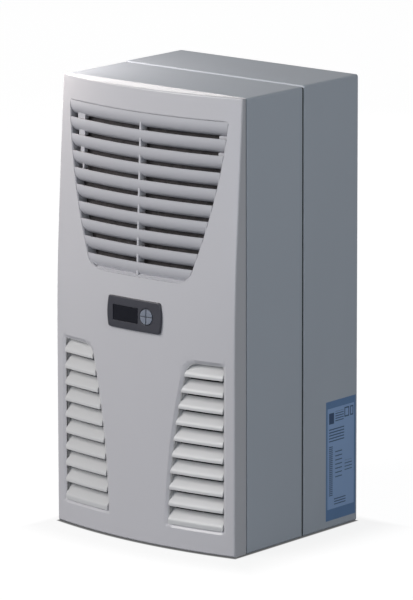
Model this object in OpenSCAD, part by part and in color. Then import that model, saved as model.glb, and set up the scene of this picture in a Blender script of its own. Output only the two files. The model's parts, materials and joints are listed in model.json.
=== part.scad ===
// Wall-mounted refrigeration unit that cools and dries cabinet air.
// Origin: bottom centre of the whole unit. +Z up, the louvred cover faces -Y, the wall face is +Y.

/* [Housing] */
// Width of both housings
body_w = 280; // [260:5:340]
// Height of the rear housing
body_h = 550; // [540:5:680]
// Depth of the rear housing, from the seam to the wall face
rear_d = 103; // [98:1:130]
// Depth of the front hood, from the cover to the seam
hood_d = 104; // [100:1:130]
// Thickness of the folded steel sheet
sheet_t = 1.5; // [1:0.25:2]
// Outside radius of the folded edges
bend_r = 3; // [2:0.5:5]
// Shadow gap between the two housings
seam_gap = 2; // [1:0.5:3]
// How much lower the hood's top is than the rear housing's
hood_drop = 1; // [0.5:0.5:2]
// Width of the flanges folded inwards around the housings
flange_w = 14; // [11:1:16]

/* [Front cover] */
// Depth of the cover's side at its top
cover_top_d = 8; // [6:0.5:14]
// Depth of the cover's side at its base
cover_base_d = 23; // [18:1:32]
// How far the middle of the front bulges past its sides
cover_bow = 20; // [14:1:26]
// Wall of the moulded cover
cover_t = 2.5; // [2:0.25:3]
// Gap between the cover and the hood
cover_gap = 1; // [0.5:0.25:2]

/* [Louvres] */
// Blades in each louvre field
blade_n = 10; // [8:1:12]
// Thickness of a blade
blade_t = 2; // [1.5:0.25:2.5]
// Depth of an intake blade
intake_blade_r = 13.5; // [11:0.5:15]
// Upright lip above the curve of an intake blade
intake_lip_h = 2.5; // [0.5:0.5:4]
// Depth of an outlet slat
outlet_slat_d = 16; // [13:0.5:17]
// Height of an outlet slat
outlet_slat_h = 19; // [16:0.5:20]
// Distance from the unit's top to the intake field
intake_top = 28; // [24:1:40]
// Height of the intake field
intake_h = 198; // [170:2:240]
// Distance from the base to the outlet fields
outlet_base = 30; // [24:1:40]
// Height of the outlet fields
outlet_h = 201; // [170:1:230]
// Distance from the unit's sides to the louvre fields
louvre_side = 16; // [14:1:22]
// Distance between the two outlet fields at their base
outlet_span = 94.6; // [80:1:130]
// Clearance around each louvre insert
insert_gap = 0.3; // [0.2:0.05:0.5]
// Thickness of the filter mat
filter_t = 8; // [5:1:10]

/* [Controller] */
// Width of the controller's bezel
bezel_w = 82; // [76:1:90]
// Height of the controller's bezel
bezel_h = 38; // [36:1:44]
// How far the bezel stands off its seat
bezel_t = 4; // [3:0.5:9]
// Radius of the four-key pad
pad_r = 9.7; // [8:0.1:11]
// Travel of a key
key_travel = 0.8; // [0.5:0.1:1]
// Depth of the display module behind its seat
module_d = 24; // [18:1:26]

/* [Refrigeration circuit] */
// Radius of the compressor shell
comp_r = 42; // [38:1:44]
// Height of the compressor shell
comp_h = 176; // [150:2:190]
// Radius of the suction accumulator
accu_r = 19; // [16:1:22]
// Outside radius of the tubes in both coils
tube_r = 4; // [3:0.25:4.5]
// Pitch of the tubes in both coils
tube_p = 21; // [19:0.5:22]
// Spacing of the fins
fin_p = 6; // [5:0.5:8]
// Thickness of a fin
fin_t = 0.6; // [0.5:0.1:1]
// Height of the condenser's underside above the base
cond_z = 236; // [228:1:250]
// Height of the evaporator's underside above the base
evap_z = 212; // [206:1:230]
// Radius of the filter drier
drier_r = 9.5; // [8:0.5:12]

/* [Fans] */
// Radius of the condenser fan's impeller
cfan_r = 92; // [80:1:94]
// Radius of the evaporator fan's impeller
efan_r = 64; // [54:1:66]
// Clearance between a blade tip and its ring
tip_gap = 3; // [2:0.5:4]
// Radius of a fan shaft
shaft_r = 4; // [3:0.5:5]
// Radial clearance of a shaft in its bearing
run_gap = 0.05; // [0.02:0.01:0.08]

/* [Mounting] */
// Distance across the fixing nuts
nut_x = 232; // [200:2:236]
// Distance up the fixing nuts
nut_z = 486; // [440:2:490]
// Radius of the fixing thread
nut_r = 3; // [2.5:0.5:4]
// Radius of the condensate nozzle
nozzle_r = 6; // [5:0.5:8]

/* [Hidden] */

$fn = 48;
eps = 0.01;
fit = 0.3;
big = 2000;

// Planes across the depth
depth = rear_d + hood_d + cover_base_d + cover_bow;
y_back = depth / 2;
y_seam = y_back - rear_d;
y_hood = y_seam - hood_d;
y_flange = y_seam + seam_gap / 2;
y_partition = y_flange + sheet_t;
foam_t = 8;
y_foam = y_partition + sheet_t;
gasket_t = 2.5;
y_plate = y_back - gasket_t - sheet_t;
x_in = body_w / 2 - sheet_t;
hood_h = body_h - hood_drop;
y_mid_hood = (y_hood + y_seam) / 2;
y_cover = y_hood - cover_gap;

// The front surface is a cylinder whose axis leans back with height
lean = atan((cover_base_d - cover_top_d) / body_h);
bow_r = (pow(body_w / 2, 2) + pow(cover_bow, 2)) / (2 * cover_bow);
bow_angle = 2 * asin(body_w / 2 / bow_r);
cover_base_z = 1;

// Louvre fields, in the leaning plane of the front
intake_z1 = body_h - intake_top;
intake_z0 = intake_z1 - intake_h;
intake_half = body_w / 2 - louvre_side;
intake_taper = 0.081;
intake_curl = 0.000824;
outlet_z0 = outlet_base;
outlet_z1 = outlet_base + outlet_h;
outlet_outer = body_w / 2 - louvre_side;
outlet_inner = outlet_span / 2;
outlet_taper = 0.02;
outlet_curl = 0.0006;
field_depth = 15;
rim_t = 1.8;
lip_w = 3;
lip_t = 1.4;
rib_w = 3;

// Cover pins and their sockets
socket_r = 5;
pin_r = 3;
pin_len = 12;
socket_in = 8;

// Controller
ctrl_z = (intake_z0 + outlet_z1) / 2 - 2;
module_w = 70;
module_h = 28;
window_w = 40;
window_h = 19;
window_x = -12.5;
pad_x = 20.5;
pad_z = 0.5;
key_gap = 0.5;
key_proud = 1;
key_rest = 0.2;
module_y = 0.3;

// Condenser fan and evaporator fan centres
cfan_z = (intake_z0 + intake_z1) / 2 + 2;
cfan_y = y_hood + 24;
cfan_d = 26;
cfan_hub_r = 40;
efan_z = body_h - 116;
efan_d = 38;
efan_hub_r = 26;
efan_y = y_plate - efan_d;

// Compressor
comp_y = y_mid_hood + 1;
foot_z = 13;
foot_t = 3;
foot_x = 49;
foot_y = 35;
stud_r = 3;
grommet_r = 9;
accu_x = -(comp_r + accu_r + 6);
accu_h = 112;
accu_z = foot_z + foot_t + 42;
pipe_r = 4;
bend = 7.5;
comp_z1 = foot_z + foot_t + comp_h;

// Coils
cond_rows = 2;
cond_cols = 4;
cond_len = body_w - 56;
cond_y = y_mid_hood - cond_cols * tube_p / 2 + 2;
cond_h = cond_rows * tube_p;
evap_rows = 4;
evap_cols = 3;
evap_len = body_w - 62;
evap_d = evap_cols * tube_p;
evap_y = y_foam + foam_t + 16;
plate_t = 1.5;
drier_x = -(cond_len / 2 + 12);
drier_y = y_seam - 22;
drier_z = 96;
drier_h = 88;
line_x = drier_x + 19;
line_z = evap_z - 42;
line_gap = 30;
grommet_hole_r = 9;
cap_r = 1.3;
evap_wall_x = -(evap_len / 2 + 9);
suction_x = evap_wall_x - 4;
duct_z = (comp_z1 + cond_z) / 2 + 1;

// Electrical parts
box_w = 62;
box_h = 126;
box_d = 34;
box_x = x_in - box_w - 4;
box_z = 92;
box_y = y_seam - seam_gap / 2 - sheet_t - box_d - 3;
wall_t = 2;

// Rating plate
plate_sunk = 0.2;
rating_w = 57;
rating_h = 148;
rating_z = 9.8;
rating_y = 2;

// Drain
tray_z = evap_z - 26;
tray_h = 16;
drain_x = evap_len / 2 - 3;
drain_y = evap_y + evap_d / 2;
drain_hole_r = 20;
nozzle_z = 2;

// Back plate: heights of its side screws as shares of the height, and its openings
plate_screw_shares = [0.28, 0.5, 0.72];
inlet_r = efan_r + tip_gap + 1;
outlet_w = body_w - 76;
cold_h = 96;
cold_z = 34;
term_w = 60;
term_h = 22;
term_x = -60;
term_z = cold_z + cold_h + 28;

// ---------------------------------------------------------------- shared shapes

// Rounded bar: a box with rounded vertical edges seen along Y
module slab(w, h, t, r) {
  rotate([90, 0, 0])
    translate([0, 0, -t])
      linear_extrude(t) rounded(w, h, r);
}

module rounded(w, h, r) {
  square([w - 2 * r, h], center = true);
  square([w, h - 2 * r], center = true);
  for (sx = [-1, 1], sz = [-1, 1])
    translate([sx * (w / 2 - r), sz * (h / 2 - r)]) circle(r);
}

// Box given by its low and high corners
module span(a, b) {
  translate(a) cube([b[0] - a[0], b[1] - a[1], b[2] - a[2]]);
}

// Cylinder along Y
module rod_y(r, a, b) {
  translate([0, a, 0]) rotate([-90, 0, 0]) cylinder(r = r, h = b - a);
}

// Cylinder along X
module rod_x(r, a, b) {
  translate([a, 0, 0]) rotate([0, 90, 0]) cylinder(r = r, h = b - a);
}

// Folded sheet tube, open along Y: rounded rectangle outside, sheet_t thick
module wrap(w, h, y0, y1) {
  translate([0, y0, h / 2])
    difference() {
      slab(w, h, y1 - y0, bend_r);
      translate([0, -eps, 0])
        slab(w - 2 * sheet_t, h - 2 * sheet_t, y1 - y0 + 2 * eps, bend_r - sheet_t + eps);
    }
}

// Inward flange that closes the edge of a folded tube
module flange(w, h, y0, width) {
  translate([0, y0, h / 2])
    difference() {
      slab(w - 2 * sheet_t, h - 2 * sheet_t, sheet_t, bend_r - sheet_t + eps);
      translate([0, -eps, 0])
        slab(w - 2 * sheet_t - 2 * width, h - 2 * sheet_t - 2 * width, sheet_t + 2 * eps, 2);
    }
}

// Leaning frame of the front: origin on the cover's lower front edge
module leaning() {
  translate([0, y_hood - cover_base_d, 0]) rotate([-lean, 0, 0]) children();
}

// Everything inside the bowed front surface, set back by d
module bowed(d) {
  translate([0, bow_r - cover_bow, -50]) cylinder(r = bow_r - d, h = body_h + 100, $fn = 720);
}

// Prism through the front for an outline drawn in X and Z
module through(d = 60) {
  translate([0, d, 0]) rotate([90, 0, 0]) linear_extrude(2 * d) children();
}

function quad(a, b, c, n) =
  [for (i = [0 : n]) let (t = i / n) (1 - t) * (1 - t) * a + 2 * t * (1 - t) * b + t * t * c];

function intake_x(z) =
  let (d = intake_z1 - z) intake_half - intake_taper * d - intake_curl * d * d;
function outlet_x(z) =
  let (d = z - outlet_z0) outlet_inner + outlet_taper * d + outlet_curl * d * d;

// Half of the intake outline, from the top centre to the base centre, grown by g
function intake_side(g) =
  let (z1 = intake_z1 + g, z0 = intake_z0 - g, zc = intake_z0 + 15)
  concat(
    quad([intake_half + g - 6, z1], [intake_half + g, z1], [intake_x(z1 - 6) + g, z1 - 6], 4),
    [for (i = [1 : 9]) let (z = z1 - 6 - i * (z1 - 6 - zc) / 10) [intake_x(z) + g, z]],
    quad([intake_x(zc) + g, zc], [intake_x(z0 + 2) + g, z0], [intake_x(z0) + g - 20, z0], 6));

module intake_outline(g) {
  side = intake_side(g);
  n = len(side);
  polygon(concat(side, [for (i = [n - 1 : -1 : 0]) [-side[i][0], side[i][1]]]));
}

// Outline of the right outlet field, grown by g
module outlet_outline(g) {
  z1 = outlet_z1 + g;
  z0 = outlet_z0 - g;
  xo = outlet_outer + g;
  xt = outlet_x(z1) - g;
  polygon(concat(
    quad([xo - 3, z0], [xo, z0], [xo, z0 + 3], 3),
    quad([xo, z1 - 3], [xo, z1], [xo - 3, z1], 3),
    quad([xt + 7, z1], [xt, z1], [outlet_x(z1 - 9) - g, z1 - 9], 4),
    [for (i = [1 : 9]) let (z = z1 - 9 - i * (z1 - 13 - z0) / 10) [outlet_x(z) - g, z]],
    quad([outlet_x(z0 + 4) - g, z0 + 4], [outlet_x(z0) - g, z0], [outlet_x(z0) - g + 4, z0], 3)));
}

// Quarter-round scoop, bulging outwards, with its lip at height 0
module scoop_section() {
  r = intake_blade_r;
  translate([0, -intake_lip_h])
    intersection() {
      difference() {
        circle(r);
        circle(r - blade_t);
      }
      translate([0, -r]) square(r);
    }
  translate([r - blade_t, -intake_lip_h]) square([blade_t, intake_lip_h]);
}

// Slat that slopes down to its lip at height 0
module slat_section() {
  d = outlet_slat_d;
  h = outlet_slat_h;
  polygon([[d - blade_t, 0], [d, 0], [d, blade_t], [blade_t / 2, h], [0, h], [0, h - blade_t]]);
}

// Blade of depth d at height z that follows the bow, turned from a section
module bowed_blade(d, z) {
  translate([0, bow_r - cover_bow, z])
    rotate([0, 0, -90 - bow_angle / 2])
      rotate_extrude(angle = bow_angle, $fn = 360)
        translate([bow_r - d, 0]) children();
}

// Straight tubes with round elbows through axis-parallel points
function unit(v) = v / norm(v);
module elbow(p, a, b, r, br) {
  c = p - br * a + br * b;
  n = cross(a, b);
  multmatrix([[-b[0], a[0], n[0], c[0]], [-b[1], a[1], n[1], c[1]], [-b[2], a[2], n[2], c[2]], [0, 0, 0, 1]])
    rotate_extrude(angle = 90) translate([br, 0]) circle(r, $fn = 24);
}
module leg(a, b, r) {
  d = unit(b - a);
  h = norm(b - a);
  translate(a)
    rotate([0, acos(d[2]), atan2(d[1], d[0])])
      cylinder(r = r, h = h, $fn = 24);
}
module pipe(pts, r, br) {
  n = len(pts) - 1;
  for (i = [0 : n - 1]) {
    d = unit(pts[i + 1] - pts[i]);
    leg(pts[i] + (i > 0 ? br : 0) * d, pts[i + 1] - (i < n - 1 ? br : 0) * d, r);
  }
  for (i = [1 : n - 1])
    elbow(pts[i], unit(pts[i] - pts[i - 1]), unit(pts[i + 1] - pts[i]), r, br);
}

// Free end of tube i of a coil, on its -X side
function coil_port(i, cols, y, z, len) = tube_at(i, cols, y, z) - [len / 2 + 2, 0, 0];

// Coil: tube centres in a cols by rows grid, wound back and forth
function tube_at(i, cols, y, z) =
  let (row = floor(i / cols), k = i % cols, col = row % 2 == 0 ? k : cols - 1 - k)
  [0, y + (col + 0.5) * tube_p, z + (row + 0.5) * tube_p];

module coil_tubes(cols, rows, y, z, len) {
  for (i = [0 : cols * rows - 1])
    translate(tube_at(i, cols, y, z)) rod_x(tube_r, -len / 2 - 2, len / 2 + 2);
  for (i = [0 : cols * rows - 2]) {
    a = tube_at(i, cols, y, z);
    b = tube_at(i + 1, cols, y, z);
    s = i % 2 == 0 ? 1 : -1;
    flat = abs(a[2] - b[2]) < eps;
    translate((a + b) / 2 + [s * (len / 2 + 2), 0, 0])
      rotate([flat ? 0 : 90, 0, 0])
        rotate([0, 0, s > 0 ? -90 : 90])
          rotate_extrude(angle = 180) translate([tube_p / 2, 0]) circle(tube_r, $fn = 24);
  }
}

module coil_fins(cols, rows, y, z, len) {
  n = floor((len - 12) / fin_p);
  difference() {
    for (i = [0 : n])
      translate([(i - n / 2) * fin_p - fin_t / 2, y + fit, z + fit])
        cube([fin_t, cols * tube_p - 2 * fit, rows * tube_p - 2 * fit]);
    for (i = [0 : cols * rows - 1])
      translate(tube_at(i, cols, y, z)) rod_x(tube_r + 0.05, -len, len);
  }
}

// Coil end plates, each with a flange folded outwards to the housing's side
module coil_end_plates(cols, rows, y, z, len, x_wall) {
  d = cols * tube_p;
  for (s = [-1, 1])
    difference() {
      union() {
        x = s * len / 2;
        span([min(x, x - s * plate_t), y, z], [max(x, x - s * plate_t), y + d, z + rows * tube_p]);
        span([min(x, s * x_wall), y + d / 2, z], [max(x, s * x_wall), y + d, z + plate_t]);
      }
      for (i = [0 : cols * rows - 1])
        translate(tube_at(i, cols, y, z)) rod_x(tube_r + 0.1, -len, len);
    }
}

// Impeller about Y: cup hub and flat blades set at a pitch angle, y from 0 to d
module impeller(r, hub_r, d, blades, pitch) {
  difference() {
    rod_y(hub_r, 0, d);
    rod_y(hub_r - 3, 3, d + 1);
  }
  rod_y(shaft_r, 2.5, d + 9);
  intersection() {
    difference() {
      rod_y(r, 1, d - 1);
      rod_y(hub_r - 1, 0, d + 1);
    }
    for (i = [0 : blades - 1])
      rotate([0, i * 360 / blades, 0])
        translate([0, d / 2, 0])
          rotate([0, 0, pitch])
            translate([-r * 0.28, -1, 0]) cube([r * 0.56, 2, r + 2]);
  }
}

// ---------------------------------------------------------------- housings

module front_hood() {
  color("lightgray")
    difference() {
      union() {
        wrap(body_w, hood_h, y_hood, y_seam - seam_gap / 2);
        flange(body_w, hood_h, y_hood, flange_w);
        flange(body_w, hood_h, y_seam - seam_gap / 2 - sheet_t, flange_w);
      }
      socket_places() rod_y(socket_r, y_hood - 1, y_hood + 4);
      foot_places() translate([0, 0, -1]) cylinder(r = stud_r + 0.1, h = 4);
    }
}

module rear_housing() {
  color("lightgray")
    difference() {
      union() {
        wrap(body_w, body_h, y_flange, y_back);
        flange(body_w, body_h, y_flange, flange_w);
        flange(body_w, body_h, y_plate - sheet_t, flange_w);
      }
      translate([drain_x, drain_y, -1]) cylinder(r = drain_hole_r, h = 4);
      plate_screw_places() rod_y(1.6, y_plate - sheet_t - 1, y_plate + 1);
      translate([body_w / 2 - plate_sunk, 0, 0]) rating_blank(1);
    }
}

module seam_gasket() {
  inset = 1.5;
  width = 9;
  color("dimgray")
    translate([0, y_seam - seam_gap / 2, hood_h / 2])
      difference() {
        slab(body_w - 2 * inset, hood_h - 2 * inset, seam_gap, 2);
        translate([0, -eps, 0])
          slab(body_w - 2 * inset - 2 * width, hood_h - 2 * inset - 2 * width, seam_gap + 2 * eps, 2);
      }
}

module line_places() {
  for (i = [0, 1]) translate([line_x, 0, line_z + i * line_gap]) children();
}

module partition_wall() {
  color("silver")
    difference() {
      translate([0, y_partition, body_h / 2])
        slab(2 * x_in - 1, body_h - 2 * sheet_t - 1, sheet_t, 2);
      line_places() rod_y(grommet_hole_r, y_partition - 1, y_partition + 3);
    }
}

module insulation_foam() {
  color("darkslategray")
    difference() {
      translate([0, y_foam, body_h / 2])
        slab(2 * x_in - 6, body_h - 2 * sheet_t - 6, foam_t, 2);
      line_places() rod_y(grommet_hole_r + 3, y_foam - 1, y_foam + foam_t + 1);
    }
}

// Places of the back plate's screws, around its edge
module plate_screw_places() {
  for (s = [-1, 1]) {
    for (z = plate_screw_shares)
      translate([s * (x_in - 7), 0, z * body_h]) children();
    for (e = [-1, 1])
      translate([s * 40, 0, body_h / 2 + e * (body_h / 2 - sheet_t - 7)]) children();
  }
}

module nut_places() {
  for (sx = [-1, 1], sz = [-1, 1])
    translate([sx * nut_x / 2, 0, body_h / 2 + sz * nut_z / 2]) children();
}

module back_plate() {
  color("gainsboro")
    difference() {
      translate([0, y_plate, body_h / 2])
        slab(2 * x_in - 0.4, body_h - 2 * sheet_t - 0.4, sheet_t, 2);
      translate([0, 0, efan_z]) rod_y(inlet_r, y_plate - 1, y_plate + 3);
      translate([0, y_plate - 1, cold_z + cold_h / 2]) slab(outlet_w, cold_h, 4, 8);
      translate([term_x, y_plate - 1, term_z]) slab(term_w + 0.6, term_h + 0.6, 4, 1);
      nut_places() rod_y(nut_r + 1.5, y_plate - 1, y_plate + 3);
      plate_screw_places() rod_y(1.6, y_plate - 1, y_plate + 3);
    }
}

module back_plate_screws() {
  color("silver")
    plate_screw_places() {
      rod_y(1.5, y_plate - 6, y_plate + sheet_t + eps);
      difference() {
        rod_y(3, y_plate + sheet_t, y_plate + sheet_t + 1.8);
        for (a = [0, 90])
          rotate([0, a, 0])
            translate([-2, y_plate + sheet_t + 1, -0.35]) cube([4, 2, 0.7]);
      }
    }
}

module wall_gasket() {
  inset = sheet_t + 0.5;
  width = 3.2;
  color("black")
    translate([0, y_plate + sheet_t, body_h / 2])
      difference() {
        slab(body_w - 2 * inset, body_h - 2 * inset, gasket_t, 2);
        translate([0, -eps, 0])
          slab(body_w - 2 * inset - 2 * width, body_h - 2 * inset - 2 * width, gasket_t + 2 * eps, 2);
      }
}

module fixing_nuts() {
  color("goldenrod")
    nut_places()
      difference() {
        union() {
          rod_y(nut_r + 1.5, y_plate - 12, y_plate + sheet_t);
          rod_y(nut_r + 3.5, y_plate + sheet_t, y_plate + sheet_t + 1);
        }
        rod_y(nut_r, y_plate - 13, y_plate + sheet_t + 2);
      }
}

// Blank of the rating plate, lying in a shallow recess of the right side
module rating_blank(t) {
  translate([0, y_back - rating_y - rating_w, rating_z]) cube([t, rating_w, rating_h]);
}

module rating_plate() {
  color("steelblue") translate([body_w / 2 - plate_sunk, 0, 0]) rating_blank(plate_sunk);
}

// ---------------------------------------------------------------- front cover

module socket_places() {
  for (sx = [-1, 1], z = [socket_in + sheet_t, hood_h - socket_in - sheet_t])
    translate([sx * (x_in - socket_in), 0, z]) children();
}

module cover_sockets() {
  color("dimgray")
    socket_places()
      difference() {
        union() {
          rod_y(socket_r - 0.1, y_hood, y_hood + pin_len + 1);
          rod_y(socket_r + 1.5, y_hood + sheet_t, y_hood + sheet_t + 2);
        }
        rod_y(pin_r + fit, y_hood - 1, y_hood + pin_len - 1);
      }
}

module cover_box(d) {
  rear = y_cover + (d > 0 ? 1 : 0);
  span([-body_w / 2 + d, -big / 2, cover_base_z + d], [body_w / 2 - d, rear, body_h - d]);
}

module cover_shell() {
  difference() {
    intersection() {
      leaning() bowed(0);
      cover_box(0);
    }
    intersection() {
      leaning() bowed(cover_t);
      cover_box(cover_t);
    }
  }
}

// Flat seat for the controller, tangent to the middle of the bow
module at_controller() {
  leaning() translate([0, -cover_bow, ctrl_z]) children();
}

module front_cover() {
  color("gainsboro")
    difference() {
      union() {
        difference() {
          cover_shell();
          leaning() through() intake_outline(0);
          for (m = [0, 1])
            mirror([m, 0, 0]) leaning() through() outlet_outline(0);
          side_groove();
        }
        difference() {
          at_controller()
            translate([-bezel_w / 2 - 1, 0.2, -bezel_h / 2 - 1]) cube([bezel_w + 2, 5, bezel_h + 2]);
          leaning() bowed(cover_t);
        }
        socket_places() rod_y(pin_r, y_hood - 7, y_hood + pin_len - 3);
        pin_bosses();
      }
      at_controller()
        translate([-module_w / 2 - 0.5, -5, -module_h / 2 - 0.5]) cube([module_w + 1, 20, module_h + 1]);
    }
}

// Blocks in the cover's corners that carry its pins
module pin_bosses() {
  w = socket_in + pin_r + 1;
  for (sx = [-1, 1])
    intersection() {
      union() {
        for (z = [cover_base_z + 1, body_h - 2 - w])
          translate([sx > 0 ? body_w / 2 - 1 - w : -body_w / 2 + 1, y_cover - 6, z]) cube([w, 6, w]);
      }
      leaning() bowed(cover_t - 0.5);
    }
}

// Fine groove around the cover's sides, a lip's width from the hood
module side_groove() {
  groove_y = y_cover - 4.5;
  difference() {
    span([-body_w, groove_y, -1], [body_w, groove_y + 0.8, body_h + 1]);
    span([-body_w / 2 + 0.6, groove_y - 1, cover_base_z + 0.6],
      [body_w / 2 - 0.6, groove_y + 2, body_h - 0.6]);
  }
}

// Rim and flange that hold an insert in the cover
module insert_rim() {
  difference() {
    intersection() {
      leaning() bowed(0.4);
      leaning() through() children(0);
    }
    leaning() bowed(field_depth);
    leaning() through() children(1);
  }
  difference() {
    intersection() {
      leaning() bowed(cover_t + 0.2);
      leaning() through() children(2);
    }
    leaning() bowed(cover_t + 0.2 + lip_t);
    leaning() through() children(1);
  }
}

module intake_grille() {
  pitch = intake_h / blade_n;
  color("gainsboro") {
    insert_rim() {
      intake_outline(-insert_gap);
      intake_outline(-insert_gap - rim_t);
      intake_outline(lip_w);
    }
    intersection() {
      leaning()
        for (i = [0 : blade_n - 1])
          bowed_blade(intake_blade_r, intake_z1 - 2 - i * pitch) scoop_section();
      leaning() through() intake_outline(-insert_gap - 0.5);
    }
    intersection() {
      leaning() translate([-rib_w / 2, -50, intake_z0]) cube([rib_w, 100, intake_h - 1]);
      difference() {
        leaning() bowed(0.2);
        leaning() bowed(field_depth - 3);
      }
      leaning() through() intake_outline(-insert_gap - 0.5);
    }
  }
}

module outlet_louvre_right() {
  pitch = outlet_h / blade_n;
  color("whitesmoke") {
    insert_rim() {
      outlet_outline(-insert_gap);
      outlet_outline(-insert_gap - rim_t);
      outlet_outline(lip_w);
    }
    intersection() {
      leaning()
        for (i = [1 : blade_n])
          bowed_blade(outlet_slat_d, outlet_z1 + 2.5 - i * pitch) slat_section();
      leaning() through() outlet_outline(-insert_gap - 0.5);
    }
  }
}

module outlet_louvre_left() {
  mirror([1, 0, 0]) outlet_louvre_right();
}

module filter_mat() {
  color("slategray")
    difference() {
      intersection() {
        leaning() bowed(field_depth + 0.4);
        leaning()
          translate([-intake_half + 3, -100, intake_z0 + 2]) cube([2 * intake_half - 6, 200, intake_h - 4]);
      }
      leaning() bowed(field_depth + 0.4 + filter_t);
    }
}

// Moulded lattice that clips behind the mat
module filter_retainer() {
  front = field_depth + 0.4 + filter_t + 0.2;
  bars = 5;
  w = 2 * intake_half - 6;
  color("dimgray")
    difference() {
      intersection() {
        leaning() bowed(front);
        leaning()
          difference() {
            translate([-w / 2, -100, intake_z0 + 2]) cube([w, 200, intake_h - 4]);
            for (i = [0 : bars - 1], j = [0 : bars - 1])
              translate([-w / 2 + 4 + i * (w - 4) / bars, -101, intake_z0 + 6 + j * (intake_h - 8) / bars])
                cube([(w - 4) / bars - 4, 202, (intake_h - 8) / bars - 4]);
          }
      }
      leaning() bowed(front + 2);
    }
}

// ---------------------------------------------------------------- controller

// Pillow outline of the bezel: all four sides bulge a little
module pillow(w, h, bulge) {
  r = 5;
  rw = (h * h / 4 + bulge * bulge) / (2 * bulge);
  rh = (w * w / 4 + bulge * bulge) / (2 * bulge);
  intersection() {
    translate([rw - w / 2, 0]) circle(rw, $fn = 180);
    translate([w / 2 - rw, 0]) circle(rw, $fn = 180);
    translate([0, rh - h / 2]) circle(rh, $fn = 360);
    translate([0, h / 2 - rh]) circle(rh, $fn = 360);
    rounded(w, h, r);
  }
}

// Plate of the bezel from y to y + t, drawn by a 2D child
module bezel_layer(y, t) {
  at_controller() translate([0, y + t, 0]) rotate([90, 0, 0]) linear_extrude(t) children();
}

module controller_bezel() {
  color("dimgray")
    difference() {
      union() {
        bezel_layer(-bezel_t, 2) pillow(bezel_w - 3, bezel_h - 3, 2);
        bezel_layer(-bezel_t + 2, bezel_t - 2) pillow(bezel_w, bezel_h, 2);
        bezel_layer(0, 10)
          difference() {
            square([module_w, module_h], center = true);
            square([module_w - 4, module_h - 4], center = true);
          }
      }
      bezel_layer(-bezel_t - 1, 2.2) translate([window_x, 1.5]) rounded(window_w, window_h, 1.5);
      bezel_layer(-bezel_t - 1, bezel_t + 2) translate([pad_x, pad_z]) circle(pad_r + 0.3);
    }
}

module display_window() {
  color("black")
    bezel_layer(-bezel_t + 0.1, 1) translate([window_x, 1.5]) rounded(window_w - 0.4, window_h - 0.4, 1.3);
}

module display_module() {
  color("darkgray") {
    bezel_layer(module_y, module_d - module_y) square([module_w - 4.6, module_h - 4.6], center = true);
    bezel_layer(module_d, 5) translate([-14, 0]) square([22, 10], center = true);
  }
}

// Side clamps that pull the bezel against the cover
module module_clamps() {
  x0 = module_w / 2 + 0.1;
  color("gray")
    for (m = [0, 1])
      mirror([m, 0, 0]) {
        bezel_layer(cover_t + 2, 10 - cover_t) translate([x0, -7]) square([4, 14]);
        bezel_layer(10.2, 4) translate([x0 - 2.1, -7]) square([6.1, 14]);
      }
}

// One quadrant of the pad, about the pad's centre, turned by a
module key(a) {
  top = -bezel_t - key_proud;
  color("slategray")
    bezel_layer(top, module_y - key_rest - key_travel - top)
      translate([pad_x, pad_z])
        rotate(a)
          intersection() {
            circle(pad_r);
            polygon([[key_gap, 0], [pad_r * 2, pad_r * 2 - key_gap], [pad_r * 2, key_gap - pad_r * 2]]);
          }
}

module key_upper_right() { key(45); }
module key_upper_left() { key(135); }
module key_lower_left() { key(225); }
module key_lower_right() { key(315); }

// ---------------------------------------------------------------- compressor

module compressor_shell() {
  color("black") {
    comp_can();
    translate([0, comp_y, comp_z1 - 44]) cylinder(r = comp_r + 1.2, h = 3);
  }
}

// Can turned from its half section: flat wall, domed top and base
module comp_can(g = 0) {
  dome = 60;
  translate([0, comp_y, foot_z + foot_t])
    rotate_extrude()
      intersection() {
        translate([0, -g]) square([comp_r + g, comp_h + 2 * g]);
        translate([0, comp_h - dome]) dome_cut(dome + g, -1);
        translate([0, dome]) dome_cut(dome + g, 1);
      }
}

// Half plane on one side of a circle's widest line, closed by the circle on the other
module dome_cut(r, s) {
  circle(r, $fn = 96);
  translate([-r, s > 0 ? 0 : -comp_h]) square([2 * r, comp_h]);
}

module foot_places() {
  for (x = [-foot_x, foot_x], y = [-foot_y, foot_y]) translate([x, comp_y + y, 0]) children();
}

module compressor_foot_plate() {
  color("dimgray")
    translate([0, 0, foot_z])
      difference() {
        translate([0, comp_y, 0]) linear_extrude(foot_t) rounded(2 * foot_x + 22, 2 * foot_y + 18, 9);
        foot_places() translate([0, 0, -1]) cylinder(r = grommet_r - 2.8, h = foot_t + 2);
        translate([0, comp_y, -1]) cylinder(r = 24, h = foot_t + 2);
      }
}

module compressor_grommets() {
  color("black")
    foot_places()
      difference() {
        union() {
          translate([0, 0, sheet_t]) cylinder(r = grommet_r, h = foot_z - sheet_t);
          translate([0, 0, sheet_t]) cylinder(r = grommet_r - 3, h = foot_z + foot_t);
          translate([0, 0, foot_z + foot_t]) cylinder(r = grommet_r, h = 3);
        }
        cylinder(r = stud_r + 0.2, h = foot_z + 20);
      }
}

module compressor_studs() {
  z = foot_z + foot_t + 3;
  color("silver")
    foot_places() {
      cylinder(r = stud_r, h = z + 11);
      translate([0, 0, z]) cylinder(r = 8, h = 1.2);
      translate([0, 0, z + 1.2]) cylinder(r = 5.5, h = 5, $fn = 6);
    }
}

module terminal_cover() {
  color("dimgray")
    difference() {
      translate([14, comp_y - 15, comp_z1 - 14]) cube([26, 30, 20]);
      comp_can(0.2);
    }
}

module suction_accumulator() {
  color("black")
    translate([accu_x, comp_y, accu_z])
      rotate_extrude()
        intersection() {
          square([accu_r, accu_h]);
          translate([0, 27]) union() {
            circle(27);
            square([27, accu_h]);
          }
          translate([0, accu_h - 27]) union() {
            circle(27);
            translate([0, -accu_h]) square([27, accu_h]);
          }
        }
}

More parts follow.
